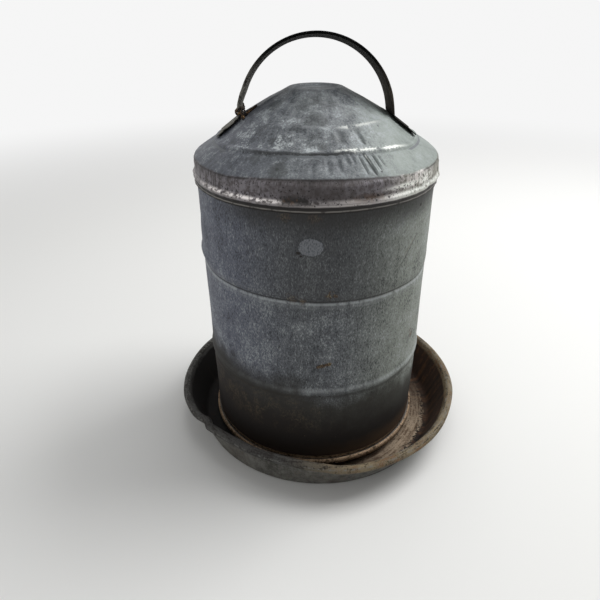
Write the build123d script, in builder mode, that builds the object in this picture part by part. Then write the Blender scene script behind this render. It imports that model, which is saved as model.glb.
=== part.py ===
from build123d import *
import os
from math import acos, atan2, cos, degrees, hypot, radians, sin, sqrt, tan

os.makedirs("parts", exist_ok=True)

# Galvanised poultry drinker, in millimetres.
# The origin is the centre of the pan's underside, +Z is up and -Y is the front.

# Sheet thicknesses and fits
pan_sheet = 0.8
jacket_sheet = 0.7
tank_sheet = 0.6
seat_gap = 0.05
wire_gap = 0.3

# Drinking pan
pan_floor_r = 114.4
pan_corner_r = 3.0
pan_flare = 16.7
pan_rim_z = 31.0
pan_wire_r = 2.4
pan_curl_end = -125.0

# Jacket wall, whose axis stands a little off the middle of the pan, with heights above its foot.
# The groove and the crease start so far below the ends of the shoulder and the swage.
jacket_x = -3.5
jacket_lift = 5.7
wall_r = 96.5
hem_wire_r = 2.0
hem_curl_end = 435.0
hem_neck = 10.0
shoulder_height = 172.0
shoulder_width = 12.0
shoulder_bulge = 1.0
groove_gap = 0.5
groove_width = 4.0
groove_depth = 0.6
swage_height = 80.0
swage_width = 9.0
swage_bulge = 1.3
crease_gap = 5.5
crease_width = 4.0
crease_depth = 0.4
seam_width = 6.0
seam_rise = 0.6
seam_angle = 112.0
seam_end_gap = 1.5

# Pressed cone top and its skirt, with heights above and below the brim
brim_height = 253.1
brim_inset = 0.5
brim_edge_r = 1.6
crown = (19.5, 47.4)
crown_edge_r = 1.2
dish_slant = 3.0
dish_depth = 2.5
break_1 = (37.0, 38.7)
break_2 = (57.5, 26.9)
break_3 = (75.0, 13.7)
break_blend_r = 12.0
ridge_half = 2.6
ridge_bulge = 0.8
wall_top_drop = 11.0
skirt_clearance = 0.15
skirt_bead_drop = 14.3
skirt_bead_width = 6.0
skirt_bead_bulge = 1.9
skirt_edge_drop = 20.0
skirt_edge_flare = 0.7

# Strap handle, leaning back a little, whose feet lie on the cone between its two ridges
arch_rise = 23.9
strap_width = 35.0
strap_sheet = 1.2
strap_hem_width = 4.0
strap_lean = 5.5
heel_outset = 1.5
toe_outset = 1.0
foot_kick = 3.0
foot_bend_r = 3.5
foot_lift = 0.75

# Rivets that hold the handle's feet to the cone
rivet_reach = 7.0
rivet_shank_r = 1.6
rivet_head_r = 3.0
rivet_head_height = 0.7
rivet_tail_r = 2.6
rivet_tail_height = 0.9
rivet_tail_gap = 0.35

# Tie wire, wound round the left leg, with its ends lying on the cone
tie_wire_r = 0.7
tie_bend_r = 1.3
tie_gap = 0.25
tie_turns = 2
tie_above_heel = 2.6
tie_pitch = 3.4
tie_slant = 0.7
tie_tail_reach = 12.0
tie_tail_lift = 0.96
tie_tail_offset = 4.0
tie_tail_spread = 1.1

# Inner tank, soldered to the pan's floor, with heights above that floor
tank_gap = 7.8
tank_rim_drop = 25.6
tank_wire_r = 1.2
tank_curl_end = -60.0
tank_flange = 4.0
tank_corner_r = 2.0
feed_hole_r = 4.0
feed_hole_height = 8.5
feed_hole_angle = 90.0

# Brackets round the tank's foot that the jacket stands on
rest_count = 3
rest_first_angle = 30.0
rest_width = 12.0
rest_sheet = 1.0
rest_upright = 9.0
rest_overhang = 1.6
rest_bend_r = 1.6

# Sections are drawn as radius and height, each from the level that its heights are given from
foot_z = pan_sheet + jacket_lift
brim_z = foot_z + brim_height
jacket_axis = Axis((jacket_x, 0, 0), (0, 0, 1))
pan_section = Plane.XZ
jacket_section = Plane(origin=(jacket_x, 0, foot_z), x_dir=(1, 0, 0), z_dir=(0, -1, 0))
cone_section = jacket_section.shift_origin((jacket_x, 0, brim_z))
tank_section = jacket_section.shift_origin((jacket_x, 0, pan_sheet))

# Round pieces stand on their plane or hang from it
on_base = (Align.CENTER, Align.CENTER, Align.MIN)
under_top = (Align.CENTER, Align.CENTER, Align.MAX)


def on_circle(centre, radius, angle):
    """Point of a section at an angle in degrees round a centre."""
    return (centre[0] + radius * cos(radians(angle)), centre[1] + radius * sin(radians(angle)))


def touch_angle(point, centre, radius, side):
    """Angle at which the line from a point touches a circle, on one side of it."""
    towards = degrees(atan2(point[1] - centre[1], point[0] - centre[0]))
    distance = hypot(point[0] - centre[0], point[1] - centre[1])
    return towards + side * degrees(acos(radius / distance))


def curl(centre, radius, start, end):
    """Arc that carries a sheet round a wire, from one angle to another."""
    middle = (start + end) / 2
    return ThreePointArc(
        on_circle(centre, radius, start),
        on_circle(centre, radius, middle),
        on_circle(centre, radius, end),
    )


def bead(height, width, depth, radius):
    """Rounded bead in an upright sheet, drawn downwards."""
    return ThreePointArc((radius, height + width / 2), (radius + depth, height), (radius, height - width / 2))


def wall_line(top, bottom):
    """Outside of the jacket's wall between two heights, drawn downwards over all its beads."""
    shoulder = bead(shoulder_height, shoulder_width, shoulder_bulge, wall_r)
    groove_height = shoulder_height - shoulder_width / 2 - groove_gap - groove_width / 2
    groove = bead(groove_height, groove_width, -groove_depth, wall_r)
    swage = bead(swage_height, swage_width, swage_bulge, wall_r)
    crease_height = swage_height - swage_width / 2 - crease_gap - crease_width / 2
    crease = bead(crease_height, crease_width, -crease_depth, wall_r)
    Line((wall_r, top), shoulder @ 0)
    Line(shoulder @ 1, groove @ 0)
    Line(groove @ 1, swage @ 0)
    Line(swage @ 1, crease @ 0)
    Line(crease @ 1, (wall_r, bottom))


# Drinking pan: one spun sheet whose rim is rolled outwards over a wire
pan_wire_centre = (pan_floor_r + pan_flare, pan_rim_z)
pan_curl_r = pan_wire_r + wire_gap
pan_touch = touch_angle((pan_floor_r, 0), pan_wire_centre, pan_curl_r, -1) % 360
pan_slope = pan_touch - 90
pan_inner_r = pan_floor_r - pan_sheet * tan(radians(pan_slope / 2))
with BuildPart() as pan:
    with BuildSketch(pan_section) as pan_outline:
        with BuildLine():
            under_curl = curl(pan_wire_centre, pan_curl_r, pan_touch, pan_curl_end)
            over_curl = curl(pan_wire_centre, pan_curl_r + pan_sheet, pan_touch, pan_curl_end)
            Polyline(under_curl @ 0, (pan_floor_r, 0), (0, 0), (0, pan_sheet))
            Polyline((0, pan_sheet), (pan_inner_r, pan_sheet), over_curl @ 0)
            Line(under_curl @ 1, over_curl @ 1)
        make_face()
        fillet(pan_outline.vertices().sort_by_distance((pan_floor_r, 0))[0], radius=pan_corner_r)
        inner_corner = pan_outline.vertices().sort_by_distance((pan_inner_r, pan_sheet))[0]
        fillet(inner_corner, radius=pan_corner_r - pan_sheet)
    revolve(axis=Axis.Z)
pan.part.label = "pan"
export_step(pan.part, "parts/pan.step")

# Wire inside the pan's rolled rim
with BuildPart() as pan_rim_wire:
    with BuildSketch(pan_section):
        with Locations(pan_wire_centre):
            Circle(pan_wire_r)
    revolve(axis=Axis.Z)
pan_rim_wire.part.label = "pan_rim_wire"
export_step(pan_rim_wire.part, "parts/pan_rim_wire.step")

# Jacket wall: a rolled sheet with swaged beads, a wired foot and a lock seam at the back
hem_curl_r = hem_wire_r + wire_gap
hem_centre = (wall_r, hem_curl_r + jacket_sheet)
hem_touch = touch_angle((wall_r, hem_neck), hem_centre, hem_curl_r, 1)
seam_out = Vector(1, 0, 0).rotate(Axis.Z, seam_angle)
seam_section = Plane(origin=jacket_section.origin, x_dir=seam_out, z_dir=seam_out.cross(Vector(0, 0, 1)))
with BuildPart() as jacket_wall:
    with BuildSketch(jacket_section):
        with BuildLine():
            wall_line(brim_height - wall_top_drop, hem_neck)
            Line((wall_r, hem_neck), on_circle(hem_centre, hem_curl_r, hem_touch))
            curl(hem_centre, hem_curl_r, hem_touch, hem_curl_end)
            offset(amount=jacket_sheet, side=Side.RIGHT)
        make_face()
    revolve(axis=jacket_axis)
    with BuildSketch(seam_section):
        with BuildLine():
            wall_line(brim_height - skirt_edge_drop - seam_end_gap, hem_neck + seam_end_gap)
            offset(amount=seam_rise, side=Side.LEFT)
        make_face()
    revolve(axis=jacket_axis, revolution_arc=degrees(seam_width / wall_r))
jacket_wall.part.label = "jacket_wall"
export_step(jacket_wall.part, "parts/jacket_wall.step")

# Wire inside the jacket's foot
with BuildPart() as jacket_hem_wire:
    with BuildSketch(jacket_section):
        with Locations(hem_centre):
            Circle(hem_wire_r)
    revolve(axis=jacket_axis)
jacket_hem_wire.part.label = "jacket_hem_wire"
export_step(jacket_hem_wire.part, "parts/jacket_hem_wire.step")

# Line of the handle's underside, with x across the drinker and y up the leaning arch
arch_z = brim_z + arch_rise
handle_plane = jacket_section.shift_origin((jacket_x, 0, arch_z)).rotated((-strap_lean, 0, 0))
strap_hem_height = 2 * strap_sheet
arch_inner_r = break_2[0] + heel_outset
arch_outer_r = arch_inner_r + strap_hem_height
upper_fall = (break_1[1] - break_2[1]) / (break_2[0] - break_1[0])
lower_fall = (break_2[1] - break_3[1]) / (break_3[0] - break_2[0])


def cone_y(radius, fall):
    """Height of one of the cone's slopes at a radius, above the middle of the arch."""
    return break_2[1] - fall * (radius - break_2[0]) - arch_rise


foot_slope = degrees(atan2(lower_fall, 1)) - foot_kick
heel_y = cone_y(arch_inner_r, lower_fall) + foot_lift
toe_x = break_3[0] + toe_outset
toe_y = heel_y - (toe_x - arch_inner_r) * tan(radians(foot_slope))
rivet_x = arch_inner_r + rivet_reach * cos(radians(foot_slope))
rivet_y = heel_y - rivet_reach * sin(radians(foot_slope))
rivet_lift = (rivet_y - cone_y(rivet_x, lower_fall)) * cos(radians(foot_slope))
rivet_depth = rivet_lift + jacket_sheet + rivet_tail_gap


def rivet_plane(side):
    """Plane on a foot's underside at its rivet, with z pointing out of the cone."""
    out = handle_plane.x_dir * side * tan(radians(foot_slope)) + handle_plane.y_dir
    place = handle_plane.from_local_coords((side * rivet_x, rivet_y, 0))
    return Plane(origin=place, x_dir=handle_plane.z_dir, z_dir=out)


rivet_planes = [rivet_plane(-1), rivet_plane(1)]

# Strap handle: hemmed sheet steel, bent outwards into a foot at each end
with BuildPart() as handle_strap:
    with BuildLine(handle_plane) as strap_line:
        Line((-toe_x, toe_y), (-arch_inner_r, heel_y))
        arch = ThreePointArc((-arch_inner_r, heel_y), (0, arch_inner_r), (arch_inner_r, heel_y))
        Line((arch_inner_r, heel_y), (toe_x, toe_y))
        fillet(arch.vertices(), radius=foot_bend_r)
    strap_section = Plane(origin=strap_line.line @ 0, x_dir=-handle_plane.z_dir, z_dir=strap_line.line % 0)
    with BuildSketch(strap_section):
        Rectangle(strap_width, strap_sheet, align=(Align.CENTER, Align.MIN))
        with GridLocations(strap_width - strap_hem_width, 0, 2, 1):
            Rectangle(strap_hem_width, strap_hem_height, align=(Align.CENTER, Align.MIN))
    sweep()
    with Locations(rivet_planes):
        Cylinder(rivet_shank_r, strap_sheet, align=on_base, mode=Mode.SUBTRACT)
handle_strap.part.label = "handle_strap"
export_step(handle_strap.part, "parts/handle_strap.step")

# One low-headed rivet through each foot
with BuildPart() as handle_rivets:
    with Locations(rivet_planes):
        Cylinder(rivet_shank_r, strap_sheet, align=on_base)
        Cylinder(rivet_shank_r, rivet_depth, align=under_top)
    with Locations([plane.offset(strap_sheet) for plane in rivet_planes]):
        Cylinder(rivet_head_r, rivet_head_height, align=on_base)
    with Locations([plane.offset(-rivet_depth) for plane in rivet_planes]):
        Cylinder(rivet_tail_r, rivet_tail_height, align=under_top)
handle_rivets.part.label = "handle_rivets"
export_step(handle_rivets.part, "parts/handle_rivets.step")


def ridge(before, corner, after):
    """Raised ridge pressed over a corner of the cone."""
    start = Vector(*corner) + (Vector(*before) - Vector(*corner)).normalized() * ridge_half
    end = Vector(*corner) + (Vector(*after) - Vector(*corner)).normalized() * ridge_half
    across = (end - start).normalized()
    return ThreePointArc(start, (start + end) / 2 + Vector(-across.Y, across.X) * ridge_bulge, end)


# Cone top: one pressed sheet with a sunk crown, two ridges and a beaded skirt over the wall
brim = (wall_r - brim_inset, 0)
skirt_r = wall_r + skirt_clearance + jacket_sheet
dish_z = crown[1] - dish_depth
with BuildPart() as jacket_cone:
    with BuildSketch(cone_section):
        with BuildLine():
            upper_ridge = ridge(break_1, break_2, break_3)
            lower_ridge = ridge(break_2, break_3, brim)
            skirt_bead = bead(-skirt_bead_drop, skirt_bead_width, skirt_bead_bulge, skirt_r)
            Line(upper_ridge @ 1, lower_ridge @ 0)
            Line(skirt_bead @ 1, (skirt_r + skirt_edge_flare, -skirt_edge_drop))
            brim_line = Polyline(lower_ridge @ 1, brim, skirt_bead @ 0)
            fillet(brim_line.vertices().sort_by(Axis.Y)[1], radius=brim_edge_r)
            dish_edge = (crown[0] - dish_slant, dish_z)
            crown_line = Polyline((0, dish_z), dish_edge, crown, break_1, upper_ridge @ 0)
            crown_corners = crown_line.vertices().sort_by(Axis.X)
            fillet(crown_corners[1:3], radius=crown_edge_r)
            fillet(crown_corners[3], radius=break_blend_r)
            offset(amount=jacket_sheet, side=Side.RIGHT)
        make_face()
    revolve(axis=jacket_axis)
    with Locations(rivet_planes):
        Cylinder(rivet_shank_r, rivet_depth, align=under_top, mode=Mode.SUBTRACT)
jacket_cone.part.label = "jacket_cone"
export_step(jacket_cone.part, "parts/jacket_cone.step")


def beside_strap(y, face_r, outward):
    """Distance from the arch's middle to the wire's centre, beside a face of the strap at a height."""
    return sqrt(face_r**2 - y**2) + outward * (tie_gap + tie_wire_r)


# Tie wire: rusty soft wire twisted round the left leg
tie_low = heel_y + tie_above_heel
tie_top = tie_low + tie_turns * tie_pitch
tie_edge = strap_width / 2 + tie_gap + tie_wire_r
tie_front = tie_tail_offset + tie_tail_spread
tie_back = tie_tail_offset - tie_tail_spread
tail_r = arch_inner_r - tie_tail_reach
tail_y = cone_y(tail_r, upper_fall) + tie_wire_r + tie_tail_lift
tie_points = [(-tail_r, tail_y, tie_front)]
tie_points += [(-beside_strap(tie_low, arch_inner_r, -1), tie_low, tie_front)]
for turn in range(tie_turns):
    low = tie_low + turn * tie_pitch
    high = low + tie_slant
    tie_points += [(-beside_strap(low, arch_inner_r, -1), low, tie_edge)]
    tie_points += [(-beside_strap(low, arch_outer_r, 1), low, tie_edge)]
    tie_points += [(-beside_strap(high, arch_outer_r, 1), high, -tie_edge)]
    tie_points += [(-beside_strap(high, arch_inner_r, -1), high, -tie_edge)]
tie_points += [(-beside_strap(tie_top, arch_inner_r, -1), tie_top, tie_back)]
tie_points += [(-tail_r, tail_y, tie_back)]
with BuildPart() as handle_tie_wire:
    with BuildLine(handle_plane) as tie_line:
        FilletPolyline(*tie_points, radius=tie_bend_r)
    with BuildSketch(Plane(origin=tie_line.line @ 0, z_dir=tie_line.line % 0)):
        Circle(tie_wire_r)
    sweep()
handle_tie_wire.part.label = "handle_tie_wire"
export_step(handle_tie_wire.part, "parts/handle_tie_wire.step")

# Inner tank wall: rolled sheet with a wired rim and a feed hole low at the back
tank_r = wall_r - jacket_sheet - tank_gap
tank_height = jacket_lift + brim_height - tank_rim_drop
tank_curl_r = tank_wire_r + wire_gap
tank_wire_centre = (tank_r + tank_curl_r, tank_height)
feed_out = Vector(1, 0, 0).rotate(Axis.Z, feed_hole_angle)
with BuildPart() as tank_wall:
    with BuildSketch(tank_section):
        with BuildLine():
            Line((tank_r, 0), (tank_r, tank_height))
            curl(tank_wire_centre, tank_curl_r, 180, tank_curl_end)
            offset(amount=tank_sheet, side=Side.LEFT)
        make_face()
    revolve(axis=jacket_axis)
    with Locations(Plane(origin=(jacket_x, 0, pan_sheet + feed_hole_height), z_dir=feed_out)):
        Cylinder(feed_hole_r, wall_r, align=on_base, mode=Mode.SUBTRACT)
tank_wall.part.label = "tank_wall"
export_step(tank_wall.part, "parts/tank_wall.step")

# Wire inside the tank's rim
with BuildPart() as tank_rim_wire:
    with BuildSketch(tank_section):
        with Locations(tank_wire_centre):
            Circle(tank_wire_r)
    revolve(axis=jacket_axis)
tank_rim_wire.part.label = "tank_rim_wire"
export_step(tank_rim_wire.part, "parts/tank_rim_wire.step")

# Tank bottom: a flanged disc soldered inside the wall, lying on the pan's floor
tank_inner_r = tank_r - tank_sheet
with BuildPart() as tank_bottom:
    with BuildSketch(tank_section):
        with BuildLine():
            bottom_line = Polyline((0, 0), (tank_inner_r, 0), (tank_inner_r, tank_flange))
            fillet(bottom_line.vertices().sort_by(Axis.X)[1:2], radius=tank_corner_r)
            offset(amount=tank_sheet, side=Side.LEFT)
        make_face()
    revolve(axis=jacket_axis)
tank_bottom.part.label = "tank_bottom"
export_step(tank_bottom.part, "parts/tank_bottom.step")

# Brackets soldered round the tank's foot, which hold the jacket's wired foot off the pan's floor
rest_top = jacket_lift - seat_gap
rest_low = rest_top - rest_sheet
with BuildPart(mode=Mode.PRIVATE) as rest_bracket:
    with BuildSketch(Plane.XZ):
        with BuildLine():
            rest_line = Polyline(
                (tank_r, rest_top + rest_upright),
                (tank_r, rest_low),
                (wall_r + rest_overhang, rest_low),
            )
            fillet(rest_line.vertices().sort_by(Axis.X).sort_by(Axis.Y)[0:1], radius=rest_bend_r)
            offset(amount=rest_sheet, side=Side.LEFT)
        make_face()
    extrude(amount=rest_width / 2, both=True)
with BuildPart() as jacket_rests:
    with Locations(Plane(origin=(jacket_x, 0, pan_sheet))):
        with PolarLocations(0, rest_count, start_angle=rest_first_angle):
            add(rest_bracket.part)
jacket_rests.part.label = "jacket_rests"
export_step(jacket_rests.part, "parts/jacket_rests.step")
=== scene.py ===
"""Looks of an old galvanised poultry drinker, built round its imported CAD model."""

import logging
import math
from dataclasses import dataclass
from enum import Enum
from typing import Any

import bmesh
import bpy
import numpy as np
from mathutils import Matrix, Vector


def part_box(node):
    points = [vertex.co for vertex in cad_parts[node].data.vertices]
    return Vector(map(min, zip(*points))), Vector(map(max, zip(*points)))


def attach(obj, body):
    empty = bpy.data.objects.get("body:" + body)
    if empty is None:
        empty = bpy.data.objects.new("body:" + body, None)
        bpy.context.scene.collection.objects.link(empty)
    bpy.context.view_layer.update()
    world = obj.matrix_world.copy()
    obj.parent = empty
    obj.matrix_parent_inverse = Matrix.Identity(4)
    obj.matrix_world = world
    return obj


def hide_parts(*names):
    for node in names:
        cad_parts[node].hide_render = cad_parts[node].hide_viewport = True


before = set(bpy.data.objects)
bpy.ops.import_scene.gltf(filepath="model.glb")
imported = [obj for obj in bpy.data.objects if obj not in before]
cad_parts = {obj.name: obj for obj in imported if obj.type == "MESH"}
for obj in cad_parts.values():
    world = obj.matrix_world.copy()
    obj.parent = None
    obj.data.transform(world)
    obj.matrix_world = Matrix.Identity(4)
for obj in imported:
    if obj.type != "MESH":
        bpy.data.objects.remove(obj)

Array = np.ndarray
Colour = tuple[float, float, float, float]
Point = tuple[float, float, float]

BODY = "root"
WHITE: Colour = (1.0, 1.0, 1.0, 1.0)
WHITE_STRENGTH = 0.92
log = logging.getLogger("drinker")


class Side(Enum):
    """Which face of a sheet a row of a mesh belongs to."""

    OUTER = 0.0
    INNER = 1.0


class Ends(Enum):
    """How the two ends of a grid's rows are finished."""

    JOINED = "joined"
    POLES = "poles"
    CAPPED = "capped"


def paint(red: int, green: int, blue: int) -> Colour:
    """Turn a colour as it looks on a screen into the linear one that a shader takes.

    Args:
        red: Red, from 0 to 255.
        green: Green, from 0 to 255.
        blue: Blue, from 0 to 255.

    Returns:
        The linear colour with full alpha. Each channel is its share of 255 raised as the sRGB curve says.
    """
    shares = (red / 255, green / 255, blue / 255)
    linear = tuple(c / 12.92 if c <= 0.04045 else ((c + 0.055) / 1.055) ** 2.4 for c in shares)
    return (*linear, 1.0)


# Surfaces


def hump(values: Array, centre: float, half: float) -> Array:
    """Raised cosine: 1 at the centre, falling smoothly to 0 at half a width from it and beyond."""
    return 0.5 + 0.5 * np.cos(math.pi * np.clip((values - centre) / half, -1.0, 1.0))


def step(values: Array, low: float, high: float) -> Array:
    """Smooth step from 0 at low to 1 at high: three t squared less two t cubed. High may be under low."""
    share = np.clip((values - low) / (high - low), 0.0, 1.0)
    return share * share * (3.0 - 2.0 * share)


def turn(angles: Array, centre: Any) -> Array:
    """Signed difference in degrees between angles and a centre, taken the short way round."""
    return (angles - centre + 180.0) % 360.0 - 180.0


def sector(angles: Array, centre: float, half: float) -> Array:
    """Raised cosine of the short way round from a centre, in degrees."""
    return hump(turn(angles, centre), 0.0, half)


def ring(count: int) -> Array:
    """Evenly spaced angles once round, in degrees."""
    return np.linspace(-180.0, 180.0, count, endpoint=False)


def waves(angles: Array, along: Any, *parts: tuple[float, float, float, float]) -> Array:
    """Long waves of a sheet.

    Args:
        angles: Angles in degrees.
        along: Place along the section.
        parts: The size, the number round the axis, the pace along the section and the start of each wave.

    Returns:
        The sum of size times the sine of number times angle plus pace times place plus start.
    """
    made = 0.0
    for size, number, pace, start in parts:
        made = made + size * np.sin(np.radians(number * angles) + along * pace + start)
    return made


def on_circle(axis_x: float, radius: float, angle: float, height: float) -> Point:
    """Point at an angle in degrees round an upright axis."""
    turned = math.radians(angle)
    return (axis_x + radius * math.cos(turned), radius * math.sin(turned), height)


def arc(centre: tuple[float, float], radius: float, start: float, end: float, count: int) -> Array:
    """Points on a circle of a section.

    Args:
        centre: Radius and height of the circle's centre.
        radius: Radius of the circle.
        start: First angle, in degrees.
        end: Last angle, in degrees.
        count: Number of points.

    Returns:
        A row for each point: the centre plus the radius times the cosine and sine of evenly spaced angles.
    """
    angles = np.radians(np.linspace(start, end, count))
    return np.stack([centre[0] + radius * np.cos(angles), centre[1] + radius * np.sin(angles)], axis=1)


def resample(points: Array, spacing: float) -> Array:
    """Space the points of a line evenly along its length.

    Args:
        points: A row for each point of the line.
        spacing: Wanted distance between points.

    Returns:
        Points at equal steps of the running length, each found by linear interpolation.
    """
    lengths = np.concatenate([[0.0], np.cumsum(np.linalg.norm(np.diff(points, axis=0), axis=1))])
    count = max(2, int(round(lengths[-1] / spacing)) + 1)
    wanted = np.linspace(0.0, lengths[-1], count)
    return np.stack([np.interp(wanted, lengths, column) for column in points.T], axis=1)


def rounded(points: Array, times: int) -> Array:
    """Soften the corners of a line.

    Args:
        points: A row for each point of the line.
        times: How often it is softened.

    Returns:
        The points. Each time an inner one becomes the mean of itself and its neighbours' mean.
    """
    made = points.copy()
    for _ in range(times):
        made[1:-1] = 0.25 * made[:-2] + 0.5 * made[1:-1] + 0.25 * made[2:]
    return made


def spun(radii: Array, heights: Array, angles: Array, axis_x: float) -> Array:
    """Spin a section round an upright axis.

    Args:
        radii: Distances from the axis, as a column or a grid.
        heights: Heights, as a column or a grid.
        angles: Angles in degrees.
        axis_x: Where the axis stands.

    Returns:
        A grid by section point and angle: the axis plus radius times cosine and sine, and the height.
    """
    turns = np.radians(angles)[None, :]
    parts = np.broadcast_arrays(axis_x + radii * np.cos(turns), radii * np.sin(turns), heights)
    return np.stack(parts, axis=2)


def outward(grid: Array, axis_x: float) -> Array:
    """Unit normals of a spun grid.

    Args:
        grid: Points by row along the section and by column round the axis.
        axis_x: Where the axis stands.

    Returns:
        The cross product of the differences along rows and columns, as unit vectors. A row on the axis takes
        the normals of the row beside it.
    """
    along = np.gradient(grid, axis=0)
    around = np.roll(grid, -1, axis=1) - np.roll(grid, 1, axis=1)
    normals = np.cross(around, along)
    normals /= np.maximum(np.linalg.norm(normals, axis=2, keepdims=True), 1e-12)
    reach = np.hypot(grid[:, :, 0] - axis_x, grid[:, :, 1]).max(axis=1)
    for pole, beside in ((0, 1), (-1, -2)):
        if reach[pole] < 1e-6:
            normals[pole] = normals[beside].mean(axis=0)
    return normals


@dataclass(frozen=True)
class Skin:
    """Grid of points, ready to be made a mesh, and which face of its sheet each row belongs to."""

    points: Array
    ends: Ends
    sides: Array | None = None


def sheet_skin(outer: Array, thickness: float, axis_x: float, flip: bool, ends: Ends, stride: int) -> Skin:
    """Give a spun surface the thickness of its sheet.

    Args:
        outer: Grid of the sheet's outer face.
        thickness: Thickness of the sheet.
        axis_x: Where the axis stands.
        flip: Whether the grid's own normals point into the sheet.
        ends: How the ends of the section are finished.
        stride: The inner face keeps one row in so many.

    Returns:
        The outer rows followed by the inner ones in reverse. An inner point is its outer one less the
        thickness times the normal.
    """
    normals = outward(outer, axis_x) * (-1.0 if flip else 1.0)
    keep = np.unique(np.append(np.arange(0, len(outer), stride), len(outer) - 1))
    inner = (outer - thickness * normals)[keep][::-1]
    if ends is Ends.POLES:
        inner[-1] = (axis_x, 0.0, inner[-1, :, 2].mean())
    sides = np.repeat([Side.OUTER.value, Side.INNER.value], [len(outer), len(inner)])
    return Skin(np.concatenate([outer, inner]), ends, sides)


def mesh_from(name: str, skin: Skin) -> bpy.types.Object:
    """Make an object of a grid that is closed round its columns.

    Args:
        name: Name of the object and its mesh.
        skin: Points, ends and sides.

    Returns:
        The object with faces outwards, smooth apart from caps, and an attribute named inside that is 1 on
        inner rows.
    """
    points, poles, loop = skin.points, skin.ends is Ends.POLES, skin.ends is Ends.JOINED
    sides = np.zeros(len(points)) if skin.sides is None else skin.sides
    kept = slice(1, -1) if poles else slice(None)
    rows, columns = points[kept].shape[:2]
    vertices, values = points[kept].reshape(-1, 3), np.repeat(sides[kept], columns)
    index = np.arange(rows * columns).reshape(rows, columns)
    lower = index if loop else index[:-1]
    upper = np.roll(index, -1, axis=0) if loop else index[1:]
    corners = (lower, np.roll(lower, -1, axis=1), np.roll(upper, -1, axis=1), upper)
    quads = np.stack(corners, axis=2).reshape(-1, 4)
    faces = quads.tolist()
    if poles:
        first, last = rows * columns, rows * columns + 1
        start, end = index[0], index[-1]
        faces += np.stack([np.full(columns, first), np.roll(start, -1), start], axis=1).tolist()
        faces += np.stack([np.full(columns, last), end, np.roll(end, -1)], axis=1).tolist()
        vertices = np.concatenate([vertices, points[[0, -1], 0]])
        values = np.concatenate([values, sides[[0, -1]]])
    smooth = len(faces)
    if skin.ends is Ends.CAPPED:
        faces += [index[0][::-1].tolist(), index[-1].tolist()]
    a, b, c, d = (vertices[quads[:, k]] for k in range(4))
    volume = np.einsum("ij,ij->", a, np.cross(b, c) + np.cross(c, d))
    if volume < 0.0:
        faces = [face[::-1] for face in faces]
    mesh = bpy.data.meshes.new(name)
    mesh.from_pydata(vertices.tolist(), [], faces)
    inside = mesh.attributes.new("inside", "FLOAT", "POINT")
    inside.data.foreach_set("value", values.astype(np.float32))
    mesh.polygons.foreach_set("use_smooth", np.arange(len(faces)) < smooth)
    mesh.validate()
    mesh.update()
    made = bpy.data.objects.new(name, mesh)
    bpy.context.scene.collection.objects.link(made)
    return made


def joined(first: bpy.types.Object, other: bpy.types.Object) -> bpy.types.Object:
    """Put two objects into one mesh.

    Args:
        first: The object that is kept.
        other: The object whose mesh is added to the first one's. It is dropped with its own mesh.

    Returns:
        The first object.
    """
    spare = other.data
    work = bmesh.new()
    for mesh in (first.data, spare):
        work.from_mesh(mesh)
    work.to_mesh(first.data)
    work.free()
    bpy.data.objects.remove(other)
    bpy.data.meshes.remove(spare)
    return first


def tube(path: Array, section: Array, first: Array) -> Array:
    """Carry a closed section along a path.

    Args:
        path: A row for each point of the path.
        section: A row for each point of the section: its offsets along the side and the up of the path.
        first: A direction that the side starts near.

    Returns:
        A grid by ring and by section point: the path's point plus the side and up vectors times the
        section's offsets. The side is carried from ring to ring with the part along the path taken out.
    """
    ahead = np.gradient(path, axis=0)
    ahead /= np.linalg.norm(ahead, axis=1, keepdims=True)
    sides = np.zeros_like(path)
    side = np.asarray(first, float)
    for ring, direction in enumerate(ahead):
        side = side - direction * (side @ direction)
        side = side / np.linalg.norm(side)
        sides[ring] = side
    ups = np.cross(ahead, sides)
    offsets = section[None, :, :, None]
    return path[:, None, :] + offsets[:, :, 0] * sides[:, None, :] + offsets[:, :, 1] * ups[:, None, :]


# Shader maths


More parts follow.
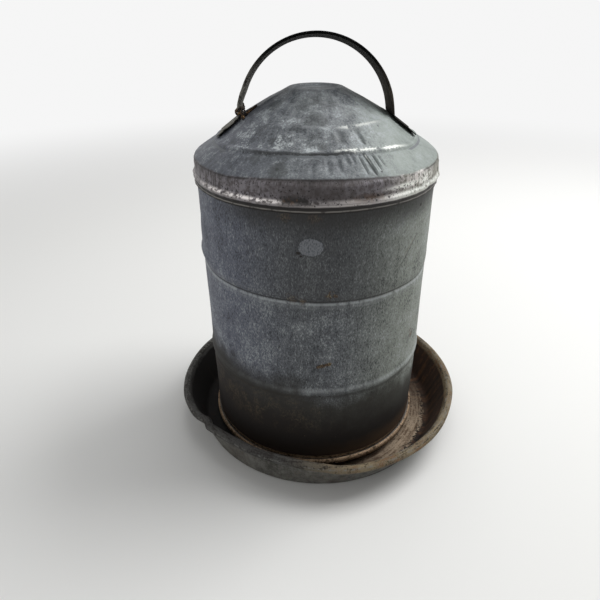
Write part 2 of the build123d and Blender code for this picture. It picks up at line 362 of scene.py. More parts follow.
class Signal:
    """A shader socket that can be used in sums."""

    def __init__(self, look: "Look", socket: bpy.types.NodeSocket) -> None:
        """Keep the socket and the look it belongs to."""
        self.look = look
        self.socket = socket

    def _math(self, operation: str, *others: Any, clamp: bool = False) -> "Signal":
        """Add a Math node on this socket and the others."""
        inputs = dict(enumerate(others))
        return self.look.node("ShaderNodeMath", {"operation": operation, "use_clamp": clamp}, inputs)

    def __add__(self, other: Any) -> "Signal":
        """Sum."""
        return self._math("ADD", self, other)

    __radd__ = __add__

    def __sub__(self, other: Any) -> "Signal":
        """Difference."""
        return self._math("SUBTRACT", self, other)

    def __rsub__(self, other: Any) -> "Signal":
        """Difference from a number."""
        return self._math("SUBTRACT", other, self)

    def __mul__(self, other: Any) -> "Signal":
        """Product."""
        return self._math("MULTIPLY", self, other)

    __rmul__ = __mul__

    def __truediv__(self, other: Any) -> "Signal":
        """Quotient."""
        return self._math("DIVIDE", self, other)

    def __abs__(self) -> "Signal":
        """Size without sign."""
        return self._math("ABSOLUTE", self)

    def power(self, exponent: float) -> "Signal":
        """Power."""
        return self._math("POWER", self, exponent)

    def most(self, other: Any) -> "Signal":
        """The larger of two."""
        return self._math("MAXIMUM", self, other)

    def least(self, other: Any) -> "Signal":
        """The smaller of two."""
        return self._math("MINIMUM", self, other)

    def held(self) -> "Signal":
        """The value kept from 0 to 1."""
        return self._math("ADD", self, 0.0, clamp=True)

    def rise(self, low: float, high: float) -> "Signal":
        """Smooth step.

        Args:
            low: Where it is 0.
            high: Where it is 1. It may be under low.

        Returns:
            The step, which stays at 0 and 1 beyond the two.
        """
        if low > high:
            return 1.0 - self.rise(high, low)
        inputs = {0: self, 1: low, 2: high}
        return self.look.node("ShaderNodeMapRange", {"interpolation_type": "SMOOTHSTEP"}, inputs)

    def band(self, centre: float, half: float) -> "Signal":
        """1 at a value, falling smoothly to 0 at half a width from it."""
        return abs(self - centre).rise(half, 0.0)


class Look:
    """Node tree of one finish, or of the world."""

    def __init__(self, name: str, world: bpy.types.World | None = None) -> None:
        """Start an empty tree.

        Args:
            name: Name of the new material.
            world: The world whose tree it is instead, if any. Its place is the direction that is looked in.
        """
        self.owner = world or bpy.data.materials.new(name)
        self.owner.use_nodes = True
        self.tree = self.owner.node_tree
        self.tree.nodes.clear()
        self.place = self.node("ShaderNodeTexCoord", {}, {}, "Generated" if world else "Object")
        split = self.node("ShaderNodeSeparateXYZ", {}, {0: self.place}).socket.node
        self.x, self.y, self.z = (Signal(self, split.outputs[axis]) for axis in "XYZ")

    def node(self, kind: str, settings: dict[str, Any], inputs: dict[Any, Any], output: Any = 0) -> Signal:
        """Add a node.

        Args:
            kind: The node's type.
            settings: Its own settings, set first.
            inputs: Values or signals by socket name or number.
            output: Name or number of the socket that is handed back.

        Returns:
            The output socket as a signal.
        """
        made = self.tree.nodes.new(kind)
        for key, value in settings.items():
            setattr(made, key, value)
        for key, value in inputs.items():
            if isinstance(value, Signal):
                self.tree.links.new(value.socket, made.inputs[key])
            else:
                made.inputs[key].default_value = value
        return Signal(self, made.outputs[output])

    def vector(self, operation: str, first: Any, second: Any, output: Any = 0) -> Signal:
        """Add a Vector Math node on two vectors."""
        return self.node("ShaderNodeVectorMath", {"operation": operation}, {0: first, 1: second}, output)

    def stretched(self, up: float) -> Signal:
        """The place with its height counted so many times."""
        return self.vector("MULTIPLY", self.place, (1.0, 1.0, up))

    def spokes(self, axis_x: float, fine: float, along: float) -> Signal:
        """Place for marks that run down a cone.

        Args:
            axis_x: Where the axis stands.
            fine: How fine the marks are round the axis.
            along: How fine they are away from it.

        Returns:
            The unit direction from the axis times one number, then the distance from it times the other.
        """
        reach = self.radius(axis_x).most(0.001)
        parts = {0: (self.x - axis_x) / reach * fine, 1: self.y / reach * fine, 2: reach * along}
        return self.node("ShaderNodeCombineXYZ", {}, parts)

    def noise(self, scale: float, detail: float, place: Signal | None = None, rough: float = 0.55) -> Signal:
        """Cloudy noise of about 0 to 1 on the object's own place or on another one."""
        inputs = {"Vector": place or self.place, "Scale": scale, "Detail": detail, "Roughness": rough}
        return self.node("ShaderNodeTexNoise", {"noise_dimensions": "3D"}, inputs)

    def cells(self, scale: float) -> Signal:
        """Cells of crystals: the distance to the nearest point."""
        return self.node("ShaderNodeTexVoronoi", {}, {"Vector": self.place, "Scale": scale}, "Distance")

    def blend(self, share: Any, under: Any, over: Any) -> Signal:
        """Mix two colours: the first at a share of 0 and the second at 1."""
        return self.node("ShaderNodeMix", {"data_type": "RGBA"}, {0: share, 6: under, 7: over}, 2)

    def coats(self, colour: Any, *layers: tuple[Any, Any]) -> Signal:
        """Lay colours over a first one in their order, each by its share."""
        for share, over in layers:
            colour = self.blend(share, colour, over)
        return colour

    def near(self, point: Point, up: float = 1.0) -> Signal:
        """Distance from a point, with the height counted so many times."""
        return self.vector("DISTANCE", self.stretched(up), (*point[:2], point[2] * up), "Value")

    def spot(self, point: Point, radius: float, ragged: Signal, share: float) -> Signal:
        """A ragged patch round a point: 1 in the middle and 0 outside."""
        return (self.near(point) + (ragged - 0.5) * radius * 2.0 * share).rise(radius, radius * 0.55)

    def stroke(self, start: Point, end: Point, half: float) -> Signal:
        """A thin line between two points: 1 on the line and 0 at half a width from it.

        Args:
            start: One end.
            end: The other end.
            half: Half of the line's width.

        Returns:
            The smooth fall of the distance from the line. That distance is the length of the place's offset
            less its share along the line, with that share kept between the ends.
        """
        span = np.subtract(end, start)
        length = float(np.linalg.norm(span))
        unit = tuple(float(v) for v in span / length)
        offset = self.vector("SUBTRACT", self.place, start)
        kept = self.vector("DOT_PRODUCT", offset, unit, "Value").most(0.0).least(length)
        foot = self.node("ShaderNodeVectorMath", {"operation": "SCALE"}, {0: unit, "Scale": kept})
        return self.vector("DISTANCE", offset, foot, "Value").rise(half, half * 0.3)

    def around(self, axis_x: float) -> Signal:
        """Angle round an upright axis, in radians, 0 at the front and growing to the right."""
        return self.node("ShaderNodeMath", {"operation": "ARCTAN2"}, {0: self.x - axis_x, 1: self.y * -1.0})

    def radius(self, axis_x: float) -> Signal:
        """Distance from an upright axis."""
        across = self.x - axis_x
        return (across * across + self.y * self.y).power(0.5)

    def face(self) -> Signal:
        """1 on the inner face of a sheet and 0 on its outer one."""
        return self.node("ShaderNodeAttribute", {"attribute_name": "inside"}, {}, "Fac")

    def finished(
        self, colour: Signal, rough: Any, metal: Any, height: Signal, relief: float, gloss: float = 0.5
    ) -> bpy.types.Material:
        """Close the tree with a shader.

        Args:
            colour: Base colour.
            rough: Roughness, a signal or a number.
            metal: Metallic, a signal or a number.
            height: Height of the surface's relief from 0 to 1.
            relief: How many metres a height of 1 stands for.
            gloss: How strongly the surface reflects, the same all over.

        Returns:
            The material.
        """
        bump = self.node("ShaderNodeBump", {}, {"Height": height, "Distance": relief}, "Normal")
        inputs = {"Base Color": colour, "Roughness": rough, "Metallic": metal, "Specular IOR Level": gloss}
        return self.closed(self.node("ShaderNodeBsdfPrincipled", {}, inputs | {"Normal": bump}))

    def closed(self, shader: Signal, kind: str = "ShaderNodeOutputMaterial") -> Any:
        """Link a shader to the tree's output.

        Args:
            shader: The shader.
            kind: Type of the output node.

        Returns:
            The material or the world that the tree belongs to.
        """
        made = self.tree.nodes.new(kind)
        self.tree.links.new(shader.socket, made.inputs["Surface"])
        return self.owner


# Finishes


@dataclass(frozen=True)
class PlainZinc:
    """Dull galvanised sheet of a part that hardly shows."""

    name: str = "plain_zinc"
    dark: Colour = paint(104, 108, 110)
    light: Colour = paint(150, 154, 156)

    def build(self) -> bpy.types.Material:
        """Mottled zinc with faint crystals.

        Returns:
            The material.
        """
        look = Look(self.name)
        mottle = look.noise(90.0, 5.0)
        share = (mottle * 0.8 + look.cells(140.0) * 0.3).held()
        colour = look.blend(share, self.dark, self.light)
        return look.finished(colour, 0.45 + mottle * 0.2, 0.55, mottle, 0.0002)


@dataclass(frozen=True)
class DrawnWire:
    """Plain steel wire."""

    name: str = "drawn_wire"
    dark: Colour = paint(70, 66, 62)
    light: Colour = paint(118, 112, 104)

    def build(self) -> bpy.types.Material:
        """Grey wire with darker stains.

        Returns:
            The material.
        """
        look = Look(self.name)
        mottle = look.noise(260.0, 5.0)
        return look.finished(look.blend(mottle, self.dark, self.light), 0.5, 0.6, mottle, 0.0001)


@dataclass(frozen=True)
class WallZinc:
    """Weathered zinc of the jacket's wall: upright grain, dark foot, rusty hem, a pale oval and specks, with
    painted highlights on the beads, painted shade in their valleys, at the front and under the skirt, and
    painted light on the right.
    """

    wall: "JacketWall"
    name: str = "wall_zinc"
    # Tint across the wall, blue-grey at the left to grey-green at the right; the right colour is also painted
    # lighter, painted light on the side that faces the lamp.
    left: Colour = paint(92, 96, 109)
    middle: Colour = paint(86, 89, 93)
    right: Colour = paint(124, 129, 121)
    dark: Colour = paint(38, 40, 43)
    light: Colour = paint(160, 165, 166)
    # Wear and painted highlight on the beads' lit flanks.
    wear_and_highlight: Colour = paint(166, 171, 172)
    damp: Colour = paint(38, 36, 31)
    soot: Colour = paint(20, 14, 11)
    tan: Colour = paint(84, 72, 54)
    hem_tan: Colour = paint(178, 152, 124)
    rust: Colour = paint(74, 56, 39)
    rust_dark: Colour = paint(24, 18, 14)
    ochre: Colour = paint(118, 105, 78)
    oval: Colour = paint(112, 115, 120)
    # Grime of the scratches, and the colour of painted shade in the bead valleys, at the front and under the
    # skirt.
    grime_and_shade: Colour = paint(34, 33, 32)

    def at(self, angle: float, height: float) -> Point:
        """Point of the wall at an angle in degrees and a height."""
        return on_circle(self.wall.axis_x, self.wall.wall_r, angle, height)

    def marks(self, look: Look, colour: Signal, grain: Signal, ragged: Signal) -> Signal:
        """Lay the oval, the rust spots, the specks and the scratches over the sheet.

        Args:
            look: The finish's tree.
            colour: Colour of the sheet.
            grain: Fine noise of the sheet.
            ragged: Noise that breaks up the marks' edges.

        Returns:
            The colour with the marks.
        """
        oval = look.near(self.at(-93.3, 0.2148), 1.35) + (ragged - 0.5) * 0.0034
        face = look.blend(grain.rise(0.34, 0.56) * 0.6 + 0.4, self.dark, self.oval)
        colour = look.coats(
            colour,
            (oval.rise(0.0108, 0.0094) * 0.45, self.dark),
            (oval.rise(0.0092, 0.0084) * (0.7 + grain * 0.5).held(), face),
        )
        earth = look.blend(grain.rise(0.40, 0.52), self.rust_dark, self.rust)
        earth = look.blend((ragged + grain).rise(1.04, 1.16), earth, self.ochre)
        rust = (
            (-85.1, 0.1768, 0.0036, 0.9), (-83.0, 0.1764, 0.0026, 0.8), (-84.0, 0.1800, 0.0018, 0.7),
            (-31.8, 0.1138, 0.0034, 0.9), (-34.0, 0.1188, 0.0022, 0.8), (-92.0, 0.2370, 0.0056, 0.25),
            (-104.0, 0.2365, 0.0046, 0.3), (-101.5, 0.1735, 0.0052, 0.35), (-97.0, 0.1712, 0.0034, 0.5),
        )
        specks = (
            (-98.6, 0.2105, 0.0016, 1.0), (-97.6, 0.2080, 0.0012, 1.0), (-38.1, 0.2324, 0.0015, 1.0),
            (-88.7, 0.0822, 0.0014, 1.0), (-79.5, 0.0868, 0.0010, 1.0), (-61.2, 0.0771, 0.0013, 1.0),
        )
        for spots, share, ink in ((rust, 1.5, earth), (specks, 0.9, self.soot)):
            for angle, height, size, deep in spots:
                patch = look.spot(self.at(angle, height), size, ragged, share) * deep
                colour = look.blend(patch, colour, ink)
        for start, end in (((-89.8, 0.1122), (-87.0, 0.1134)), ((-87.4, 0.1136), (-84.2, 0.1146))):
            streak = look.stroke(self.at(*start), self.at(*end), 0.0024) + (ragged - 0.5) * 1.9
            colour = look.blend(streak.rise(0.42, 0.7), colour, earth)
        for start, end, half, ink in (
            ((-38.0, 0.2100), (-50.0, 0.1880), 0.0008, self.grime_and_shade),
            ((-46.0, 0.1990), (-53.0, 0.1900), 0.0007, self.grime_and_shade),
            ((-40.2, 0.2084), (-48.0, 0.1940), 0.0007, self.ochre),
        ):
            mark = look.stroke(self.at(*start), self.at(*end), half) * ragged.rise(0.34, 0.5)
            colour = look.blend(mark * 0.75, colour, ink)
        return colour

    def build(self) -> bpy.types.Material:
        """Layer the grain, the beads' wear with painted highlights, painted shade in the bead valleys, at the
        front and under the skirt, the stains and the marks over each other.

        Returns:
            The material.
        """
        look = Look(self.name)
        across = (look.x - self.wall.axis_x) / self.wall.wall_r
        groove = look.z + across * self.wall.bead_tilt - self.wall.groove_z
        swage = look.z - self.wall.swage_z
        grain = look.noise(1500.0, 2.0, look.stretched(0.4))
        weave = look.noise(640.0, 3.0, look.stretched(0.5))
        streak = look.noise(240.0, 3.0, look.stretched(0.05))
        cloud = look.noise(22.0, 5.0)
        patchy = look.noise(85.0, 5.0)
        ragged = look.noise(420.0, 4.0)
        tone = grain * 0.95 + weave * 0.55 + patchy * 0.4 + cloud * 0.45 + streak * 0.2 - 0.775
        # Painted shade on the upper front of the wall.
        front_shade = look.z.rise(0.148, 0.182) * across.band(0.04, 0.85) * (0.3 + patchy * 0.5)
        # Painted highlights with some wear: bright lines on the groove's lower flank and the swage's upper
        # flank, which face the light.
        crest = groove.band(-0.0010, 0.0017) * (0.55 + patchy * 0.7) + groove.band(-0.0032, 0.0036) * 0.25
        crest = crest + swage.band(0.0020, 0.0026) * 0.55 + swage.band(0.0, 0.0050) * 0.2
        wear_and_highlight = (crest * streak.rise(0.2, 0.55)).held()
        # Painted shade: dark lines on the groove's upper flank and in the hollow under the swage.
        valley = groove.band(0.0012, 0.0015) + groove.band(0.0035, 0.0040) * 0.25
        valley = (valley + swage.band(-0.0053, 0.0038) * 0.7).held()
        wavering = look.z + (cloud - 0.5) * 0.040 + (patchy - 0.5) * 0.014
        wavering = wavering + across * 0.012 + across.least(0.0) * 0.014
        damp = wavering.rise(0.101, 0.070)
        tan = (ragged * 0.5 + grain * 0.5).rise(0.44, 0.62) * patchy.rise(0.4, 0.6)
        tan = tan * look.z.band(0.062, 0.028) * across.rise(0.4, -0.4)
        glow = (look.z + (patchy - 0.5) * 0.012).band(0.0175, 0.016) * (0.15 + across.rise(-0.2, 0.7) * 0.85)
        hem = (look.z + (ragged - 0.5) * 0.003).rise(0.0162, 0.0132)
        edge = look.blend((ragged * 0.6 + patchy * 0.4).rise(0.38, 0.54), self.rust, self.hem_tan)
        edge = look.blend(grain.rise(0.44, 0.34) * 0.7, edge, self.soot)
        # Painted shadow under the skirt, with dirt smudges in it, less at the left.
        under = (look.z + (streak - 0.5) * 0.010 + (patchy - 0.5) * 0.016).rise(0.216, 0.2375)
        colour = look.coats(
            self.left,
            # Blue-grey to grey-green across the wall, with painted light on the right.
            (across.rise(-0.8, -0.1), self.middle),
            (across.rise(0.1, 0.8), self.right),
            (tone.rise(0.5, 0.24) * 0.85, self.dark),
            (tone.rise(0.5, 0.78) * 0.7, self.light),
            (front_shade, self.grime_and_shade),
            (wear_and_highlight * 0.62, self.wear_and_highlight),
            (valley * 0.8, self.grime_and_shade),
            (damp * 0.94, self.damp),
            (wavering.rise(0.076, 0.040) * 0.95, self.soot),
            (tan * 0.6, self.tan),
            (glow * 0.8, self.rust),
            (hem * 0.95, edge),
            (under * (0.85 - across.rise(-0.4, -0.9) * 0.7), self.grime_and_shade),
        )
        colour = self.marks(look, colour, grain, ragged)
        rough = (0.56 + cloud * 0.12 + damp * 0.15 - wear_and_highlight * 0.15).held()
        metal = (0.16 - damp * 0.14).held()
        height = grain * 0.5 + weave * 0.3 + patchy * 0.3
        return look.finished(colour, rough, metal, height, 0.0002, 0.35)


@dataclass(frozen=True)
class ConeZinc:
    """Weathered zinc of the cone: pale mottle, ridges with wear and painted highlights, and a pinkish pitted
    skirt with a painted highlight on its bead.

    The wear and the painted light and shade follow the ridges, the fold and the bead of the cone that comes
    with it.
    """

    cone: "ConeTop"
    name: str = "cone_zinc"
    dark: Colour = paint(62, 66, 71)
    # Tint across the cone, blue-grey at the left to grey-green at the right, painted darker at the left as
    # shade and lighter at the right as painted light.
    left: Colour = paint(84, 87, 96)
    middle: Colour = paint(106, 110, 113)
    right: Colour = paint(120, 128, 123)
    light: Colour = paint(146, 152, 154)
    crystal_white: Colour = paint(184, 190, 191)
    # Smudges, and the colour of painted shade in the creases.
    smudge_and_shade: Colour = paint(46, 49, 48)
    # Near black, also of painted shade under the lower ridge and in the creases.
    ink: Colour = paint(30, 31, 31)
    # White of the painted highlights.
    bright: Colour = paint(230, 232, 226)
    skirt: Colour = paint(127, 123, 128)
    skirt_dark: Colour = paint(80, 74, 75)
    skirt_warm: Colour = paint(138, 137, 124)
    skirt_dim: Colour = paint(54, 49, 48)
    shine: Colour = paint(236, 230, 227)
    lip: Colour = paint(122, 119, 114)
    # Pits, and the colour of painted shadow under the brim and painted shade under the bead.
    pit_and_shade: Colour = paint(18, 14, 12)
    rust: Colour = paint(70, 51, 36)

    def at(self, angle: float, reach: float) -> Point:
        """Point of the slopes at an angle in degrees and a distance from the axis."""
        height = float(np.interp(reach, *zip(*self.cone.slope())))
        return on_circle(self.cone.axis_x, reach, angle, height)

    def slopes(self, look: Look, reach: Signal, angle: Signal, mottle: Signal, cloud: Signal) -> Signal:
        """Colour of the cone's slopes.

        Args:
            look: The finish's tree.
            reach: Distance from the axis.
            angle: Angle from the front, in radians.
            mottle: Noise of the middle size.
            cloud: Noise of the large size.

        Returns:
            The mottled sheet with smudges, a darker band beyond the lower ridge, ridge crests with wear and
            painted highlights, a painted shade line under the lower ridge, painted shade and a painted
            highlight in the creases, and scratches.
        """
        cone = self.cone
        across = (look.x - cone.axis_x) / cone.lower_r
        grain = look.noise(700.0, 4.0)
        fine = look.noise(1300.0, 2.0)
        blotch = look.noise(58.0, 6.0, rough=0.7)
        drawn = look.noise(1.0, 4.0, look.spokes(cone.axis_x, 34.0, 45.0))
        calm = 1.0 - across.rise(0.2, 0.8) * 0.6
        tone = cloud * 0.35 + blotch * 0.8 + mottle * 0.85 + grain * 0.6 + drawn * 0.35 + fine * 0.5 - 1.225
        lower = reach - (angle * angle).least(1.0) * cone.bow + cone.bow_start - cone.lower_r
        # Darker beyond the lower ridge, towards the left.
        below_ridge_dark = lower.rise(0.0, 0.004) * across.rise(0.75, 0.2)
        lively = angle.band(-0.38, 0.8) * reach.band(0.066, 0.026)
        white = (mottle * 0.6 + grain * 0.4).rise(0.49, 0.58) * blotch.rise(0.46, 0.56)
        colour = look.coats(
            # Painted shade at the left and painted light at the right, over the tint.
            self.left,
            (across.rise(-0.9, -0.1), self.middle),
            (across.rise(0.1, 0.8), self.right),
            (tone.rise(0.5, 0.27) * calm, self.dark),
            (tone.rise(0.51, 0.75) * (calm * 0.9 + 0.05), self.light),
            (below_ridge_dark * 0.3, self.dark),
            (white * lively * 0.85, self.crystal_white),
            (mottle.rise(0.5, 0.38) * lively * 0.55, self.smudge_and_shade),
        )
        for turned, place, size, deep in (
            (-141.0, 0.039, 0.009, 0.45), (-92.0, 0.050, 0.012, 0.45), (-104.0, 0.036, 0.013, 0.4),
            (-60.0, 0.044, 0.008, 0.3), (-80.0, 0.032, 0.014, 0.35), (-108.0, 0.088, 0.010, 0.55),
            (-122.0, 0.080, 0.007, 0.4), (-88.0, 0.070, 0.006, 0.45), (-77.0, 0.063, 0.007, 0.35),
            (-26.5, 0.0322, 0.0012, 1.0), (-44.2, 0.0600, 0.0011, 1.0), (-108.9, 0.0867, 0.0017, 1.0),
            (-62.6, 0.0911, 0.0014, 1.0),
        ):
            flat = look.near(self.at(turned, place)) + (mottle - 0.5) * size * 1.3
            colour = look.blend(flat.rise(size, size * 0.4) * deep, colour, self.smudge_and_shade)
        # Painted highlights, with wear, on the ridge crests where they face the light.
        for crest, half, strength, low, high in (
            (reach - cone.upper_r, 0.0019, 0.5, 0.28, 0.80),
            (lower, 0.0021, 1.0, 0.2, 0.86),
        ):
            lit = angle.rise(low - 0.1, low + 0.06) * angle.rise(high + 0.16, high - 0.1)
            wear_and_highlight = (crest + (grain - 0.5) * 0.0046).band(-0.0004, half) * lit * mottle.rise(0.4, 0.52)
            colour = look.blend(wear_and_highlight * strength, colour, self.bright)
        # Painted shade: a dark line under the lower ridge, on the side away from the light.
        line = (lower + (grain - 0.5) * 0.002).band(0.0013, 0.0013)
        line = line * angle.rise(0.36, 0.24) * angle.rise(-0.9, -0.5)
        line = line * (0.45 + mottle.rise(0.36, 0.54) * 0.55)
        colour = look.blend(line * 0.85, colour, self.ink)
        # Painted shade down the creases at the front right and along the dent beside them, with one painted
        # highlight beside a crease; the last two, at the left, are scratches.
        for first, last, half, ink in (
            ((-69.8, 0.0784), (-69.0, 0.0919), 0.0007, self.smudge_and_shade),
            ((-66.8, 0.0766), (-65.4, 0.0926), 0.0009, self.ink),
            ((-66.1, 0.0775), (-64.7, 0.0900), 0.0006, self.bright),
            ((-62.3, 0.0782), (-62.0, 0.0904), 0.0006, self.smudge_and_shade),
            ((-59.3, 0.0796), (-58.9, 0.0882), 0.0006, self.smudge_and_shade),
            ((-64.8, 0.0600), (-62.6, 0.0700), 0.0012, self.smudge_and_shade),
            ((-132.5, 0.0640), (-132.4, 0.0749), 0.0007, self.ink),
            ((-131.6, 0.0775), (-132.1, 0.0912), 0.0007, self.ink),
        ):
            mark = look.stroke(self.at(*first), self.at(*last), half) * grain.rise(0.3, 0.46)
            colour = look.blend(mark * 0.75, colour, ink)
        return colour

    def bead(self, crest: Signal, angle: Signal, mottle: Signal, ragged: Signal) -> Signal:
        """Where the skirt's bead and the fold above it shine.

        Args:
            crest: Height above the bead's crest.
            angle: Angle from the front, in radians.
            mottle: Noise of the middle size.
            ragged: Noise of a small size.

        Returns:
            The largest of four broken bands, from 0 to about 1: weak in front, strong at the right.
        """
        clear = 1.0 - angle.band(-0.02, 0.42) * 0.85
        clear = clear * (0.25 + angle.rise(-0.6, 0.4) * angle.rise(3.1, 2.0) * 0.7)
        shine = crest.band(0.0016, 0.0026) * clear * (mottle * 0.4 + ragged * 0.6).rise(0.38, 0.48)
        shine = shine.most(crest.band(-0.0002, 0.0014) * (0.2 + angle.rise(-0.4, 0.5) * 0.35))
        gleam = crest.band(0.0016, 0.0022) * (ragged * 0.7 + mottle * 0.3).rise(0.43, 0.53)
        shine = shine.most(gleam * (1.0 - angle.band(0.02, 0.5) * 0.75) * angle.rise(-1.3, -0.8))
        return shine.most((crest + (ragged - 0.5) * 0.004).band(0.0070, 0.0024) * angle.band(0.66, 0.26))

    def rolled(
        self, look: Look, height: Signal, angle: Signal, mottle: Signal, ragged: Signal
    ) -> tuple[Signal, Signal]:
        """Colour of the skirt and where it shines.

        Args:
            look: The finish's tree.
            height: Height above the fold at the brim, less than zero on the skirt.
            angle: Angle from the front, in radians.
            mottle: Noise of the middle size.
            ragged: Noise of a small size.

        Returns:
            The pinkish sheet with pits and rust, painted highlights on its bead, painted shadow under the
            brim, painted shade under the bead, and the shine from 0 to 1.
        """
        streak = look.noise(300.0, 3.0, look.stretched(0.25))
        ticks = look.noise(1.0, 1.0, look.spokes(self.cone.axis_x, 150.0, 0.0))
        pits = look.noise(700.0, 2.0)
        crest = look.z - self.cone.bead_z
        soft = ragged * 0.6 + streak * 0.4
        dull = angle.rise(-0.4, -0.9) * angle.rise(-3.1, -2.2) * (streak.rise(0.58, 0.42) * 0.5 + 0.15)
        # Painted highlight on the skirt above the bead, at the right.
        highlight_band = angle.band(0.82, 0.34) * soft.rise(0.42, 0.54) * crest.rise(0.003, 0.006)
        shine = self.bead(crest, angle, mottle, ragged)
        glint = look.blend(angle.rise(0.3, 0.7), self.shine, self.bright)
        # Painted highlight on the crumpled lap at the right.
        crumple = angle.band(0.93, 0.16) * look.z.band(0.2530, 0.010)
        crumple = crumple * (ragged * 0.7 + mottle * 0.3).rise(0.46, 0.54)
        side = angle + 0.16
        place = side.rise(0.14, 0.07) * side.rise(-0.14, -0.07) + angle.band(0.36, 0.26) * 0.9
        stain = (ragged * 0.6 + mottle * 0.4 + place * 0.12).rise(0.50, 0.57) * place.held()
        earth = look.blend((mottle + angle * 0.2).rise(0.48, 0.58), self.pit_and_shade, self.rust)
        pits = pits.rise(0.38, 0.31).most(pits.rise(0.46, 0.38) * crest.band(0.0046, 0.0020))
        # Painted shadow under the brim's fold, with fine pits along it.
        brim = height.band(-0.0012, 0.0014) * mottle.rise(0.3, 0.5) * 0.8
        brim = brim.most(ticks.rise(0.5, 0.6) * height.band(-0.0028, 0.0028) * 0.6)
        lip = look.z.band(self.cone.edge_z + 0.0013, 0.0008) * mottle.rise(0.3, 0.5)
        colour = look.coats(
            self.skirt_dark,
            (soft.rise(0.38, 0.6), self.skirt),
            (angle.rise(0.4, 0.8) * angle.rise(3.0, 2.2) * 0.75, self.skirt_warm),
            (angle.band(0.0, 0.72) * (0.4 + mottle * 0.8), self.skirt_dim),
            (dull, self.skirt_dim),
            (highlight_band * 0.8, self.shine),
            ((shine * 0.95).held(), glint),
            (crumple * 0.85, self.bright),
            (stain * crest.band(0.0028, 0.0050), earth),
            (pits * crest.rise(-0.002, 0.0), self.pit_and_shade),
            (brim, self.pit_and_shade),
            # Painted shade under the bead, down to the lip.
            (crest.rise(-0.0010, -0.0018) * 0.96, self.pit_and_shade),
            (lip * 0.9, self.lip),
        )
        return colour, (shine + crumple).held()

    def build(self) -> bpy.types.Material:
        """Join the slopes and the skirt at the brim, and leave the inner face plain.

        Returns:
            The material.
        """
        look, cone = Look(self.name), self.cone
        reach, angle = look.radius(cone.axis_x), look.around(cone.axis_x)
        cloud = look.noise(34.0, 5.0)
        mottle = look.noise(130.0, 6.0, rough=0.62)
        ragged = look.noise(420.0, 4.0)
        height = look.z - cone.brim_z - cone.fold + (angle * angle * 2.0).least(1.0) * cone.fold
        rolled, shine = self.rolled(look, height, angle, mottle, ragged)
        skirt = (height + (mottle - 0.5) * 0.0012).rise(0.0, -0.0012)
        colour = look.coats(
            self.slopes(look, reach, angle, mottle, cloud),
            (skirt, rolled),
            (look.face(), look.blend(mottle, self.dark, self.middle)),
        )
        rough = (0.5 + cloud * 0.12 - shine * skirt * 0.16).held()
        metal = (0.18 + skirt * (0.12 + shine * 0.3)).held()
        return look.finished(colour, rough, metal, mottle * 0.6 + ragged * 0.4, 0.0004, 0.4)


